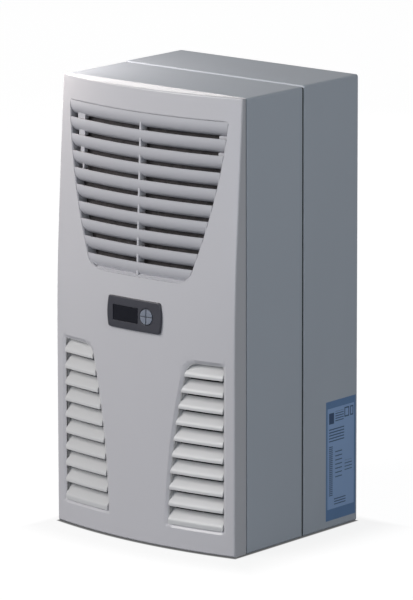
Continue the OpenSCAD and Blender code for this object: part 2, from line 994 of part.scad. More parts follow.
module accumulator_strap() {
  z = accu_z + accu_h * 0.6;
  color("silver")
    difference() {
      union() {
        translate([accu_x, comp_y, z]) cylinder(r = accu_r + 1.5, h = 14);
        translate([accu_x, comp_y - 7, z]) cube([-accu_x - comp_r + 2, 14, 14]);
      }
      translate([accu_x, comp_y, z - 1]) cylinder(r = accu_r + 0.1, h = 16);
      translate([0, comp_y, z - 1]) cylinder(r = comp_r + 0.1, h = 16);
    }
}

// ---------------------------------------------------------------- coils and lines

module condenser_fins() {
  color("silver") coil_fins(cond_cols, cond_rows, cond_y, cond_z, cond_len);
}
module condenser_tubes() {
  color("chocolate") coil_tubes(cond_cols, cond_rows, cond_y, cond_z, cond_len);
}
module condenser_end_plates() {
  color("silver") coil_end_plates(cond_cols, cond_rows, cond_y, cond_z, cond_len, x_in);
}
module evaporator_fins() {
  color("silver") coil_fins(evap_cols, evap_rows, evap_y, evap_z, evap_len);
}
module evaporator_tubes() {
  color("chocolate") coil_tubes(evap_cols, evap_rows, evap_y, evap_z, evap_len);
}
module evaporator_end_plates() {
  color("silver") coil_end_plates(evap_cols, evap_rows, evap_y, evap_z, evap_len, x_in);
}

module discharge_pipe() {
  in = coil_port(cond_cols * cond_rows - 1, cond_cols, cond_y, cond_z, cond_len);
  front = cond_y - 5;
  color("chocolate")
    pipe([[0, comp_y, comp_z1], [0, comp_y, duct_z], [0, front, duct_z], [drier_x, front, duct_z],
      [drier_x, front, in[2]], [drier_x, in[1], in[2]], in], pipe_r, bend);
}

module liquid_pipe() {
  out = coil_port(0, cond_cols, cond_y, cond_z, cond_len);
  color("chocolate")
    pipe([out, [drier_x, out[1], out[2]], [drier_x, out[1], duct_z - 5], [drier_x, drier_y, duct_z - 5],
      [drier_x, drier_y, drier_z + drier_h]], pipe_r - 1, bend);
}

module filter_drier() {
  neck = 8;
  color("peru")
    translate([drier_x, drier_y, drier_z]) {
      translate([0, 0, neck]) cylinder(r = drier_r, h = drier_h - 2 * neck);
      for (m = [0, 1])
        translate([0, 0, m * drier_h])
          mirror([0, 0, m]) cylinder(r1 = 3.5, r2 = drier_r, h = neck + eps);
    }
}

// Tube wound in a helix from the drier's foot, then led through the wall to the evaporator
module capillary_tube() {
  rc = (line_x - drier_x) / 2;
  turns = 5.5;
  rise = 3.2;
  steps = 12;
  z0 = drier_z - 10;
  z1 = z0 - turns * rise;
  in = coil_port(0, evap_cols, evap_y, evap_z, evap_len);
  run_x = evap_wall_x;
  color("chocolate") {
    translate([drier_x, drier_y, z0 - 1]) cylinder(r = cap_r, h = drier_z - z0 + 1, $fn = 24);
    translate([drier_x + rc, drier_y, z0]) helix(rc, rise, turns, steps, cap_r);
    pipe([[line_x, drier_y, z1 - 1], [line_x, drier_y, line_z], [line_x, in[1], line_z],
      [run_x, in[1], line_z], [run_x, in[1], in[2]], in], cap_r, 4);
  }
}

module helix(rc, rise, turns, steps, r) {
  sides = 8;
  n = round(turns * steps);
  pts = [for (i = [0 : n], k = [0 : sides - 1])
    let (a = 180 + i * 360 / steps, b = k * 360 / sides, q = rc + r * cos(b))
    [q * cos(a), q * sin(a), r * sin(b) - i * rise / steps]];
  walls = [for (i = [0 : n - 1], k = [0 : sides - 1])
    let (k2 = (k + 1) % sides) [i * sides + k, i * sides + k2, (i + 1) * sides + k2, (i + 1) * sides + k]];
  ends = [[for (k = [sides - 1 : -1 : 0]) k], [for (k = [0 : sides - 1]) n * sides + k]];
  polyhedron(pts, concat(walls, ends));
}

module suction_pipe() {
  out = coil_port(evap_cols * evap_rows - 1, evap_cols, evap_y, evap_z, evap_len);
  y = y_foam + foam_t + 6;
  z = line_z + line_gap;
  color("chocolate") {
    pipe([out, [suction_x, out[1], out[2]], [suction_x, y, out[2]], [suction_x, y, z], [line_x, y, z],
      [line_x, comp_y, z], [accu_x, comp_y, z], [accu_x, comp_y, accu_z + accu_h]], pipe_r, bend);
    pipe([[accu_x, comp_y, accu_z], [accu_x, comp_y, accu_z - 14], [-comp_r, comp_y, accu_z - 14]],
      pipe_r, bend);
  }
}

module line_grommets() {
  color("black")
    for (i = [0, 1])
      translate([line_x, 0, line_z + i * line_gap])
        difference() {
          union() {
            rod_y(grommet_hole_r - 0.1, y_partition - 1, y_partition + 3);
            rod_y(grommet_hole_r + 2.5, y_partition - 1.5, y_partition);
            rod_y(grommet_hole_r + 2.5, y_partition + sheet_t, y_partition + sheet_t + 1.5);
          }
          rod_y((i == 0 ? cap_r : pipe_r) + 0.1, y_partition - 3, y_partition + 5);
        }
}

// ---------------------------------------------------------------- fans

module at_cfan() {
  translate([0, cfan_y, cfan_z]) children();
}

module fan_shroud() {
  z0 = cond_z + cond_h + 8;
  z1 = hood_h - sheet_t - 1;
  y0 = -4;
  color("silver") {
    difference() {
      translate([0, cfan_y + y0, (z0 + z1) / 2]) slab(2 * x_in - 0.6, z1 - z0, sheet_t, 2);
      at_cfan() rod_y(cfan_r + tip_gap, y0 - 1, y0 + 3);
    }
    at_cfan()
      difference() {
        rod_y(cfan_r + tip_gap + 1.5, y0 + sheet_t, y0 + 18);
        rod_y(cfan_r + tip_gap, y0, y0 + 19);
      }
    for (s = [-1, 1])
      translate([s * (x_in - 0.3 - sheet_t / 2) - sheet_t / 2, cfan_y + y0 + sheet_t, z0 + 4])
        cube([sheet_t, 16, z1 - z0 - 8]);
  }
}

// Stator on four arms; the arms stand on the shroud
module fan_bracket() {
  back = cfan_d + 1;
  reach = cfan_r + tip_gap + 12;
  color("dimgray")
    at_cfan() {
      difference() {
        union() {
          rod_y(cfan_hub_r - 4.5, 4, back + 0.5);
          rod_y(cfan_hub_r - 3, back - 0.5, back + 3.5);
          rod_y(9, back, back + 10);
        }
        rod_y(shaft_r + run_gap, 3, back + 11);
      }
      for (a = [45 : 90 : 315])
        rotate([0, a, 0]) {
          translate([cfan_hub_r - 6, back, -6]) cube([reach - cfan_hub_r + 6, 3, 12]);
          translate([reach - 8, sheet_t - 4, -6]) cube([8, back + 7 - sheet_t, 12]);
        }
    }
}

module condenser_impeller() {
  color("black") at_cfan() impeller(cfan_r, cfan_hub_r, cfan_d, 7, 32);
}

// Wire rings laid on four spokes, about Y; the spokes end in feet that point the way of foot
module wire_guard(radii, r_in, r_out, wire, foot) {
  side = foot > 0 ? wire : -wire;
  for (r = radii) rotate([90, 0, 0]) rotate_extrude() translate([r, 0]) circle(wire, $fn = 24);
  for (a = [45 : 90 : 315])
    rotate([0, a, 0]) {
      translate([0, side, 0]) rod_x(wire * 1.2, r_in, r_out);
      translate([r_out, 0, 0]) rod_y(wire * 1.6, min(foot, side), max(foot, side));
    }
}

module finger_guard() {
  ring = cfan_r + tip_gap + 4;
  color("silver")
    at_cfan() translate([0, -9, 0]) wire_guard([for (i = [1 : 4]) ring * i / 4.2], ring / 5, ring, 1.1, 5);
}

module at_efan() {
  translate([0, efan_y, efan_z]) children();
}

module evaporator_fan_frame() {
  w = 2 * (efan_r + tip_gap) + 16;
  back = efan_d - 9;
  color("dimgray")
    at_efan() {
      difference() {
        slab(w, w, efan_d, 6);
        rod_y(efan_r + tip_gap, -1, efan_d + 1);
        for (sx = [-1, 1], sz = [-1, 1])
          translate([sx * (w / 2 - 7), 0, sz * (w / 2 - 7)]) rod_y(2.2, -1, efan_d + 1);
      }
      difference() {
        union() {
          rod_y(efan_hub_r - 4.2, 8, back + 0.5);
          rod_y(efan_hub_r - 2, back, back + 8);
          for (a = [45 : 90 : 315])
            rotate([0, a, 0])
              translate([efan_hub_r - 6, back + 3, -3.5]) cube([efan_r + tip_gap - efan_hub_r + 7, 5, 7]);
        }
        rod_y(shaft_r + run_gap, 7, back + 9);
      }
    }
}

module evaporator_impeller() {
  color("black") at_efan() translate([0, 4, 0]) impeller(efan_r, efan_hub_r, 24, 5, 34);
}

module inlet_guard() {
  ring = inlet_r + 5;
  color("silver")
    translate([0, y_plate + sheet_t + 1.6, efan_z])
      wire_guard([for (i = [1 : 4]) ring * i / 4.4], ring / 5, ring, 0.7, -1.6);
}

// ---------------------------------------------------------------- condensate and cold air

module condensate_tray() {
  w = evap_len + 8;
  y0 = evap_y - 2;
  d = evap_d + 4;
  t = 1.5;
  color("gray")
    difference() {
      union() {
        span([-w / 2, y0, tray_z], [w / 2, y0 + d, tray_z + tray_h]);
        for (s = [-1, 1])
          translate([s > 0 ? w / 2 - 1 : -x_in, y0 + d / 3, tray_z]) cube([x_in - w / 2 + 1, d / 2, t]);
      }
      span([-w / 2 + t, y0 + t, tray_z + t], [w / 2 - t, y0 + d - t, tray_z + tray_h + 1]);
      translate([drain_x, drain_y, tray_z - 1]) cylinder(r = nozzle_r - 1.5, h = 4);
    }
}

// Down pipe that ends in a hose nozzle, in a recess of the housing's floor
module drain_nozzle() {
  cup_h = 20;
  color("whitesmoke")
    difference() {
      union() {
        translate([drain_x, drain_y, nozzle_z]) cylinder(r = nozzle_r, h = tray_z - nozzle_z);
        translate([drain_x, drain_y, sheet_t]) cylinder(r = drain_hole_r + 4, h = 2);
        translate([drain_x, drain_y, sheet_t]) cylinder(r = drain_hole_r, h = cup_h);
      }
      difference() {
        translate([drain_x, drain_y, -1]) cylinder(r = drain_hole_r - 2, h = cup_h);
        translate([drain_x, drain_y, nozzle_z]) cylinder(r = nozzle_r, h = cup_h);
      }
      translate([drain_x, drain_y, -1]) cylinder(r = nozzle_r - 1.5, h = tray_z + 2);
    }
}

// Curved sheet that turns the falling cold air out through the wall opening
module air_guide() {
  r = y_plate - 7 - (y_foam + foam_t) - 0.3;
  yc = y_plate - 7;
  zc = cold_z + r;
  w = outlet_w - 10;
  t = 1.2;
  color("silver")
    translate([-w / 2, yc, zc])
      rotate([90, 0, 90])
        linear_extrude(w) {
          intersection() {
            difference() {
              circle(r, $fn = 96);
              circle(r - t, $fn = 96);
            }
            translate([-r - 1, -r - 1]) square(r + 1);
          }
          translate([0, -r]) square([6.8, t]);
        }
}

// ---------------------------------------------------------------- electrical parts

module control_box() {
  color("dimgray") {
    difference() {
      span([box_x, box_y, box_z], [box_x + box_w, box_y + box_d, box_z + box_h]);
      span([box_x + wall_t, box_y - 1, box_z + wall_t],
        [box_x + box_w - wall_t, box_y + box_d - wall_t, box_z + box_h - wall_t]);
    }
    for (e = [0.2, 0.8])
      translate([x_in - 8, 0, box_z + e * box_h]) rod_y(3.5, box_y + box_d, y_seam - seam_gap / 2 - sheet_t);
    span([box_x + 8, box_y + 10, box_z + wall_t], [box_x + box_w - 8, box_y + 12, box_z + box_h - wall_t]);
  }
}

module control_box_lid() {
  color("gray")
    span([box_x, box_y - 2.2, box_z], [box_x + box_w, box_y - 0.2, box_z + box_h]);
}

module run_capacitor() {
  x = box_x + box_w / 2;
  y = comp_y - 2;
  color("silver") {
    translate([x, y, sheet_t]) cylinder(r = 17, h = 62);
    for (s = [-1, 1]) translate([x + s * 6 - 1, y - 3, sheet_t + 62]) cube([2, 6, 9]);
  }
}

module line_filter() {
  color("silver")
    span([-x_in + 4, comp_y - 2, sheet_t], [-x_in + 46, comp_y + 38, sheet_t + 48]);
}

module terminal_block() {
  color("seagreen")
    difference() {
      union() {
        translate([term_x, y_plate - 22, term_z]) slab(term_w, term_h, 22 + sheet_t, 1);
        translate([term_x, y_plate - 2, term_z]) slab(term_w + 8, term_h + 8, 2, 1);
      }
      for (i = [-2 : 2])
        translate([term_x + i * 10.5, y_plate - 8, term_z]) slab(5.5, 9, 12, 0.6);
    }
}

module air_sensor() {
  x = efan_r + tip_gap + 26;
  color("silver") {
    translate([x, y_plate - 9, efan_z - 60]) cylinder(r = 3, h = 34);
    translate([x - 5, y_plate - 7, efan_z - 50]) cube([10, 7, 8]);
  }
}

// ---------------------------------------------------------------- drawing

front_hood();
rear_housing();
seam_gasket();
partition_wall();
insulation_foam();
back_plate();
back_plate_screws();
wall_gasket();
fixing_nuts();
rating_plate();
cover_sockets();
front_cover();
intake_grille();
outlet_louvre_left();
outlet_louvre_right();
filter_mat();
filter_retainer();
controller_bezel();
display_window();
display_module();
module_clamps();
key_upper_left();
key_upper_right();
key_lower_left();
key_lower_right();
compressor_shell();
compressor_foot_plate();
compressor_grommets();
compressor_studs();
terminal_cover();
suction_accumulator();
accumulator_strap();
condenser_fins();
condenser_tubes();
condenser_end_plates();
fan_shroud();
fan_bracket();
condenser_impeller();
finger_guard();
evaporator_fins();
evaporator_tubes();
evaporator_end_plates();
evaporator_fan_frame();
evaporator_impeller();
inlet_guard();
condensate_tray();
drain_nozzle();
air_guide();
discharge_pipe();
liquid_pipe();
filter_drier();
capillary_tube();
suction_pipe();
line_grommets();
control_box();
control_box_lid();
run_capacitor();
line_filter();
terminal_block();
air_sensor();
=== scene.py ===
import json
import math

import bmesh
import bpy
from mathutils import Matrix, Vector


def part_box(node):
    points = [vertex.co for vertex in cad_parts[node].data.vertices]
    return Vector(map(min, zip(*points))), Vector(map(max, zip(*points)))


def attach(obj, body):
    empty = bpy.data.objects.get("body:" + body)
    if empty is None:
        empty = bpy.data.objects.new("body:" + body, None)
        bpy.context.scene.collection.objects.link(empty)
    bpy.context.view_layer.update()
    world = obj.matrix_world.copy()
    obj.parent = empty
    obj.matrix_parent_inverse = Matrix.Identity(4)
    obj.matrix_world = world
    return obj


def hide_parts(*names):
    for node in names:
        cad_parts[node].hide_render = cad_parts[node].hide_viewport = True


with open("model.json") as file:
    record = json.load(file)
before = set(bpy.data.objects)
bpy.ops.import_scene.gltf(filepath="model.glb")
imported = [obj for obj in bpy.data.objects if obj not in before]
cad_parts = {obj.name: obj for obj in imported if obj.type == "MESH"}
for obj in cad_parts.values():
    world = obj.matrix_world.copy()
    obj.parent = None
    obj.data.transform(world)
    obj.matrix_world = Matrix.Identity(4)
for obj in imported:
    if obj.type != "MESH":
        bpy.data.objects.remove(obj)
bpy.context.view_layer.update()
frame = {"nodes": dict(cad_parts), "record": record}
cad = frame["nodes"]

# The unit's own sizes, in metres: half its width, its height, and the face on the wall.
half, unit_high, wall_face_y = 0.14, 0.55, 0.125


# ---------------------------------------------------------------- coats and skins

def arith(tree, operation, *values):
    """One step of arithmetic on numbers and sockets."""
    node = tree.nodes.new("ShaderNodeMath")
    node.operation = operation
    for socket, value in zip(node.inputs, values):
        if isinstance(value, (int, float)):
            socket.default_value = value
        else:
            tree.links.new(value, socket)
    return node.outputs[0]


def finish(name, colour, rough, metal=0.0, mottle=0.03, patch=7.0, grain=900.0, depth=0.02,
           stretch=(1, 1, 1), spread=0.05, coat=0.0, sheen=0.0, edge=None):
    """A coat or skin: colour drifts in patches, gloss varies, and a fine grain raises the surface.

    The grain's depth is in millimetres, and edge is the colour that worn edges show.
    """
    m = bpy.data.materials.new(name)
    m.use_nodes = True
    nodes, links = m.node_tree.nodes, m.node_tree.links
    skin = nodes["Principled BSDF"]
    skin.inputs["Metallic"].default_value = metal
    skin.inputs["Coat Weight"].default_value = coat
    skin.inputs["Sheen Weight"].default_value = sheen
    place = nodes.new("ShaderNodeTexCoord")
    laid = nodes.new("ShaderNodeMapping")
    laid.inputs["Scale"].default_value = stretch
    links.new(place.outputs["Object"], laid.inputs["Vector"])
    drift = nodes.new("ShaderNodeTexNoise")
    drift.inputs["Scale"].default_value = patch
    drift.inputs["Detail"].default_value = 4.0
    links.new(laid.outputs["Vector"], drift.inputs["Vector"])
    tone = nodes.new("ShaderNodeValToRGB")
    tone.color_ramp.elements[0].position = 0.3
    tone.color_ramp.elements[1].position = 0.7
    tone.color_ramp.elements[0].color = [c * (1 - mottle) for c in colour] + [1]
    tone.color_ramp.elements[1].color = [min(1, c * (1 + mottle)) for c in colour] + [1]
    links.new(drift.outputs["Fac"], tone.inputs["Fac"])
    shown = tone.outputs["Color"]
    if edge:
        bare = nodes.new("ShaderNodeNewGeometry")
        worn = nodes.new("ShaderNodeValToRGB")
        worn.color_ramp.elements[0].position = 0.53
        worn.color_ramp.elements[1].position = 0.6
        links.new(bare.outputs["Pointiness"], worn.inputs["Fac"])
        rubbed = nodes.new("ShaderNodeMix")
        rubbed.data_type = "RGBA"
        rubbed.inputs["B"].default_value = list(edge) + [1]
        links.new(worn.outputs["Color"], rubbed.inputs["Factor"])
        links.new(shown, rubbed.inputs["A"])
        shown = rubbed.outputs["Result"]
    links.new(shown, skin.inputs["Base Color"])
    gloss = nodes.new("ShaderNodeMapRange")
    gloss.inputs["To Min"].default_value = max(0.03, rough - spread)
    gloss.inputs["To Max"].default_value = rough + spread
    links.new(drift.outputs["Fac"], gloss.inputs["Value"])
    links.new(gloss.outputs["Result"], skin.inputs["Roughness"])
    grains = nodes.new("ShaderNodeTexNoise")
    grains.inputs["Scale"].default_value = grain
    grains.inputs["Detail"].default_value = 3.0
    links.new(laid.outputs["Vector"], grains.inputs["Vector"])
    raised = nodes.new("ShaderNodeBump")
    raised.inputs["Strength"].default_value = 0.6
    raised.inputs["Distance"].default_value = depth / 1000
    links.new(grains.outputs["Fac"], raised.inputs["Height"])
    links.new(raised.outputs["Normal"], skin.inputs["Normal"])
    return m


# ---------------------------------------------------------------- working a mesh

def points(geom):
    """The points among the elements that an operator gives back."""
    return [g for g in geom if isinstance(g, bmesh.types.BMVert)]


def ease(bm, edges, radius, steps=3, clamp=False):
    """Rounds edges over."""
    bmesh.ops.bevel(bm, geom=edges, offset=radius, segments=steps, profile=0.5, affect="EDGES",
                    material=-1, clamp_overlap=clamp)


def slice_at(bm, at, normal, one_side=False):
    """Cuts a piece along a plane, and keeps only what lies ahead of it when asked."""
    bmesh.ops.bisect_plane(bm, geom=bm.verts[:] + bm.edges[:] + bm.faces[:], dist=1e-6,
                           plane_co=at, plane_no=normal, clear_inner=one_side)


def slice_upright(bm, step):
    """Cuts a flat piece into upright strips, so that it can follow the bow."""
    reach = int((half - 0.001) / step)
    for i in range(-reach, reach + 1):
        slice_at(bm, (i * step, 0, 0), (1, 0, 0))


def slice_level(bm, heights):
    """Cuts a flat piece across at the heights given."""
    for z in heights:
        slice_at(bm, (0, 0, z), (0, 0, 1))


def add_brick(bm, middle, size, turn=Matrix.Identity(4)):
    """Adds a box and gives its corners."""
    matrix = Matrix.Translation(middle) @ turn @ Matrix.Diagonal((*size, 1))
    return bmesh.ops.create_cube(bm, size=1, matrix=matrix)["verts"]


def add_peg(bm, middle, radius, length, sides):
    """Adds a round peg that lies along Y and gives its points."""
    matrix = Matrix.Translation(middle) @ Matrix.Rotation(math.pi / 2, 4, "X")
    return bmesh.ops.create_cone(bm, cap_ends=True, segments=sides, radius1=radius,
                                 radius2=radius, depth=length, matrix=matrix)["verts"]


def spot(v):
    """A point's place, rounded so that two points there share it."""
    return tuple(round(c, 6) for c in v.co)


def settled(bm):
    """The same mesh with its elements in a fixed order, so that every run works it alike."""
    rank = {v: i for i, v in enumerate(sorted(bm.verts, key=spot))}
    bm.verts.sort(key=rank.get)
    bm.verts.index_update()

    def place(element):
        """A number that orders edges or faces by their points."""
        key = 0
        for i in sorted(v.index for v in element.verts)[:3]:
            key = key * len(rank) + i
        return key

    bm.edges.sort(key=place)
    bm.faces.sort(key=place)
    kept = bpy.data.meshes.new("settled")
    bm.to_mesh(kept)
    bm.free()
    bm = bmesh.new()
    bm.from_mesh(kept)
    bpy.data.meshes.remove(kept)
    return bm


def plate(loops):
    """A flat plate in the plane of the front, its outline first and then its holes."""
    bm = bmesh.new()
    for loop in loops:
        corners = [bm.verts.new((p[0], 0, p[1])) for p in loop]
        for i, v in enumerate(corners):
            bm.edges.new((v, corners[i - 1]))
    bmesh.ops.triangle_fill(bm, use_beauty=True, edges=bm.edges[:], normal=(0, -1, 0))
    return bm


def curve(a, b, c, n):
    """Points of a parabola from a to c that leans on b."""
    a, b, c = Vector(a), Vector(b), Vector(c)
    return [(1 - i / n) ** 2 * a + 2 * i / n * (1 - i / n) * b + (i / n) ** 2 * c
            for i in range(n + 1)]


def box_loop(x, low, high):
    """A rectangle's corners, from -x to x and between two heights."""
    return [(-x, low), (x, low), (x, high), (-x, high)]


def circle(x, z, radius, step):
    """Points round a circle, one every so many degrees."""
    return [(x + radius * math.cos(a), z + radius * math.sin(a))
            for a in map(math.radians, range(0, 360, step))]


def piece(bm, name, body, material, nodes, soft=35):
    """Makes the worked mesh an object that rides on its body and stands for its CAD nodes."""
    bm = settled(bm)
    mesh = bpy.data.meshes.new(name)
    bm.to_mesh(mesh)
    bm.free()
    mesh.materials.append(material)
    mesh.shade_smooth()
    mesh.set_sharp_from_angle(angle=math.radians(soft))
    made = bpy.data.objects.new(name, mesh)
    bpy.context.scene.collection.objects.link(made)
    even = made.modifiers.new("even_normals", "WEIGHTED_NORMAL")
    even.keep_sharp = True
    worked = made.evaluated_get(bpy.context.evaluated_depsgraph_get())
    shaded = bpy.data.meshes.new_from_object(worked)
    made.modifiers.clear()
    made.data = shaded
    bpy.data.meshes.remove(mesh)
    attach(made, body)
    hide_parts(*nodes)
    return made


# ---------------------------------------------------------------- hood and rear housing
# Two tubes of 1.5 mm steel sheet, folded round and closed by inward flanges. They are powder
# coated light grey, with a fine orange-peel skin, and the coat rounds every folded edge.

def folded(node, rims, radius, drawn_back):
    """A copy of a folded sheet whose outer rims, in the planes given, are rounded over.

    The last rim is first drawn back along Y, which opens the joint between the housings.
    """
    near = 1e-4
    bm = bmesh.new()
    bm.from_mesh(cad[node].data)
    bmesh.ops.remove_doubles(bm, verts=bm.verts, dist=1e-5)
    bmesh.ops.dissolve_limit(bm, angle_limit=math.radians(0.4), verts=bm.verts, edges=bm.edges)
    low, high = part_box(node)
    for v in bm.verts:
        if abs(v.co.y - rims[-1]) < near:
            v.co.y += drawn_back
    feet = [e for e in bm.edges
            if all(abs(v.co.z - low.z) < near and high.x - abs(v.co.x) < near for v in e.verts)]
    ease(bm, feet, 0.0022, steps=4, clamp=True)
    for y in rims[:-1] + [rims[-1] + drawn_back]:
        rim = [e for e in bm.edges if all(
            abs(v.co.y - y) < near
            and min(high.x - abs(v.co.x), v.co.z - low.z, high.z - v.co.z) < 0.001
            for v in e.verts)]
        ease(bm, rim, radius, steps=4, clamp=True)
    return bm


coat_grey = finish("powder_coat_grey", (0.545, 0.582, 0.635), 0.62, mottle=0.012, patch=5,
                   grain=650, depth=0.03, spread=0.04)
piece(folded("front_hood", rims=[-0.082, 0.021], radius=0.0011, drawn_back=-0.0004),
      "hood_sheet", "housing", coat_grey, ["front_hood"])
piece(folded("rear_housing", rims=[0.023], radius=0.0018, drawn_back=0.0007),
      "rear_sheet", "housing", coat_grey, ["rear_housing"])


# ---------------------------------------------------------------- seam and wall gaskets
# Closed-cell rubber strips: one fills the joint between the housings, the other seals the
# unit against the cabinet's wall. Both are cut from sheet and swell a little past flat.

def frame_strip(high, outer, width, low_y, high_y, swell):
    """A strip laid round a frame, its edges pressed round and its faces swollen."""
    bm = bmesh.new()
    bmesh.ops.create_grid(bm, x_segments=1, y_segments=1, size=0.5)
    bmesh.ops.rotate(bm, matrix=Matrix.Rotation(math.pi / 2, 3, "X"), verts=bm.verts)
    bmesh.ops.scale(bm, vec=(2 * half - 2 * outer, 1, high - 2 * outer), verts=bm.verts)
    bmesh.ops.bevel(bm, geom=bm.verts[:], offset=0.002, segments=4, profile=0.5,
                    affect="VERTICES", material=-1)
    ring = bmesh.ops.inset_region(bm, faces=bm.faces[:], thickness=width, use_even_offset=True,
                                  use_boundary=True)["faces"]
    middle = [f for f in bm.faces if f not in ring]
    bmesh.ops.delete(bm, geom=middle, context="FACES")
    across = [e for e in bm.edges if len(e.link_faces) == 2]
    bmesh.ops.subdivide_edges(bm, edges=across, cuts=3, use_grid_fill=True)
    swollen = {v for v in bm.verts if not v.is_boundary}
    back = points(bmesh.ops.extrude_face_region(bm, geom=bm.faces[:])["geom"])
    for v in bm.verts:
        v.co.y = low_y - (swell if v in swollen else 0)
        v.co.z += high / 2
    for v in back:
        v.co.y = high_y
    bmesh.ops.recalc_face_normals(bm, faces=bm.faces)
    return bm


foam_rubber = finish("closed_cell_rubber", (0.03, 0.031, 0.033), 0.75, mottle=0.25, patch=60,
                     grain=1800, depth=0.12, spread=0.08)
seam_strip = piece(frame_strip(high=0.549, outer=0.0013, width=0.0091, low_y=0.02075,
                               high_y=0.02355, swell=0.00006),
                   "seam_strip", "housing", foam_rubber, ["seam_gasket"])
wall_strip = piece(frame_strip(high=unit_high, outer=0.0022, width=0.0029, low_y=0.1226,
                               high_y=0.1249, swell=0.0),
                   "wall_strip", "housing", foam_rubber, ["wall_gasket"])


# ---------------------------------------------------------------- front cover
# One light-grey moulding, 2.5 mm thick, bowed like a barrel stave and leaning back with
# height. Its rim is rolled over to the sides, and four pins stand behind its corners.

lean = math.atan(0.015 / unit_high)
intake_top, intake_turn, intake_foot = 0.522, 0.339, 0.324
outlet_top, outlet_foot, outlet_outer = 0.231, 0.03, 0.1247
openings_low, outlets_high, openings_high = 0.02, 0.24, 0.53


def knee(z, at, soft):
    """0 below a height, then the height above it, with a soft bend between."""
    return (z - at + math.hypot(z - at, soft)) / 2


def skin_y(x, z, inward=0.0):
    """The cover's front: upright below, leaning back above, and bowed from side to side."""
    side = -0.1056 + 0.0667 * knee(z, 0.31, 0.06)
    middle = -0.1217 + 0.043 * knee(z, 0.29, 0.05)
    return side + (middle - side) * (1 - (x / half) ** 2) + inward


def intake_half(z):
    """Half the intake field's width at a height; it narrows downwards in a curve."""
    d = intake_top - z
    return 0.124 - 0.081 * d - 0.824 * d * d


def intake_rim(grow=0.0):
    """Outline of the intake field, seen from the front, anticlockwise from its top right."""
    top, foot = intake_top + grow, intake_foot - grow
    shoulder = top - 0.006
    right = curve((0.118 + grow, top), (0.124 + grow, top),
                  (intake_half(shoulder) + grow, shoulder), 5)
    run = shoulder - intake_turn
    for i in range(1, 12):
        z = shoulder - i * run / 12
        right.append(Vector((intake_half(z) + grow, z)))
    right += curve((intake_half(intake_turn) + grow, intake_turn),
                   (intake_half(foot + 0.002) + grow, foot),
                   (intake_half(foot) + grow - 0.02, foot), 7)
    return [Vector((-p.x, p.y)) for p in right] + right[::-1]


def outlet_inner(z):
    """How far an outlet field's inner edge lies from the middle, at a height."""
    d = z - outlet_foot
    return 0.0473 + 0.02 * d + 0.6 * d * d


def outlet_rim(side, grow=0.0):
    """Outline of one outlet field, side 1 on the right and -1 on the left."""
    top, foot, outer = outlet_top + grow, outlet_foot - grow, outlet_outer + grow
    shoulder, small = top - 0.013, 0.003

    def inner(z):
        return outlet_inner(z) - grow

    line = curve((outer - small, foot), (outer, foot), (outer, foot + small), 3)
    line += curve((outer, top - small), (outer, top), (outer - small, top), 3)
    line += curve((inner(top) + 0.014, top), (inner(top), top), (inner(shoulder), shoulder), 8)
    run = shoulder - 0.004 - foot
    for i in range(1, 12):
        z = shoulder - i * run / 12
        line.append(Vector((inner(z), z)))
    line += curve((inner(foot + 0.004), foot + 0.004), (inner(foot), foot),
                  (inner(foot) + 0.004, foot), 3)
    return [Vector((side * p.x, p.y)) for p in line]


# The rim's roll, the wall's thickness, and the slope that leads in to each outlet.
roll, wall, cover_foot = 0.002, 0.0025, 0.001
apron, apron_drop = 0.0038, 0.0022
bm = plate([box_loop(half - roll, cover_foot + roll, unit_high - roll), intake_rim(),
            outlet_rim(1, apron), outlet_rim(-1, apron), box_loop(0.0355, 0.261, 0.2935)])
slice_upright(bm, 0.005)
slice_level(bm, [0.23 + 0.02 * i for i in range(16)])
inner = set(points(bmesh.ops.duplicate(bm, geom=bm.verts[:] + bm.edges[:] + bm.faces[:])["geom"]))


def outward(v):
    """Which way the rim lies from a point on the cover's outline."""
    x = 0 if abs(v.co.x) < half - roll - 1e-5 else math.copysign(1, v.co.x)
    z = 1 if v.co.z > unit_high - roll - 1e-5 else -1 if v.co.z < cover_foot + roll + 1e-5 else 0
    return x, z


def drawn_out(bm, edges):
    """Extrudes an open edge line, and gives its new points and its new open edges."""
    made = bmesh.ops.extrude_edge_only(bm, edges=edges)["geom"]
    ends = points(made)
    return ends, [g for g in made if isinstance(g, bmesh.types.BMEdge) and g.is_boundary
                  and all(v in ends for v in g.verts)]


def nearest(line, x, z):
    """The point of a closed outline that lies nearest to a place."""
    best = None
    for i, b in enumerate(line):
        a = line[i - 1]
        t = max(0, min(1, (Vector((x, z)) - a).dot(b - a) / (b - a).length_squared))
        at = a + t * (b - a)
        gap = (at - Vector((x, z))).length
        if best is None or gap < best[0]:
            best = (gap, at)
    return best[1]


def onto_outlet(v, inward):
    """Moves a point sideways to the nearest outlet's outline and to a depth behind the front."""
    v.co.x, v.co.z = nearest(outlet_rim(1 if v.co.x > 0 else -1), v.co.x, v.co.z)
    v.co.y = skin_y(v.co.x, v.co.z, inward)


def is_mouth(e, inward):
    """Whether an edge goes round an opening at a depth behind the front."""
    return all(openings_low < v.co.z < openings_high
               and abs(v.co.y - skin_y(v.co.x, v.co.z, inward)) < 1e-5 for v in e.verts)


outer_rims = [e for e in bm.edges if e.is_boundary and e.verts[0] not in inner]
outline = [e for e in outer_rims if all(any(outward(v)) for v in e.verts)]
holes = [e for e in outer_rims if e not in outline]
for v in inner:
    x, z = outward(v)
    v.co.x -= x * (wall - roll)
    v.co.z -= z * (wall - roll)
    v.co.y = skin_y(v.co.x, v.co.z, wall)

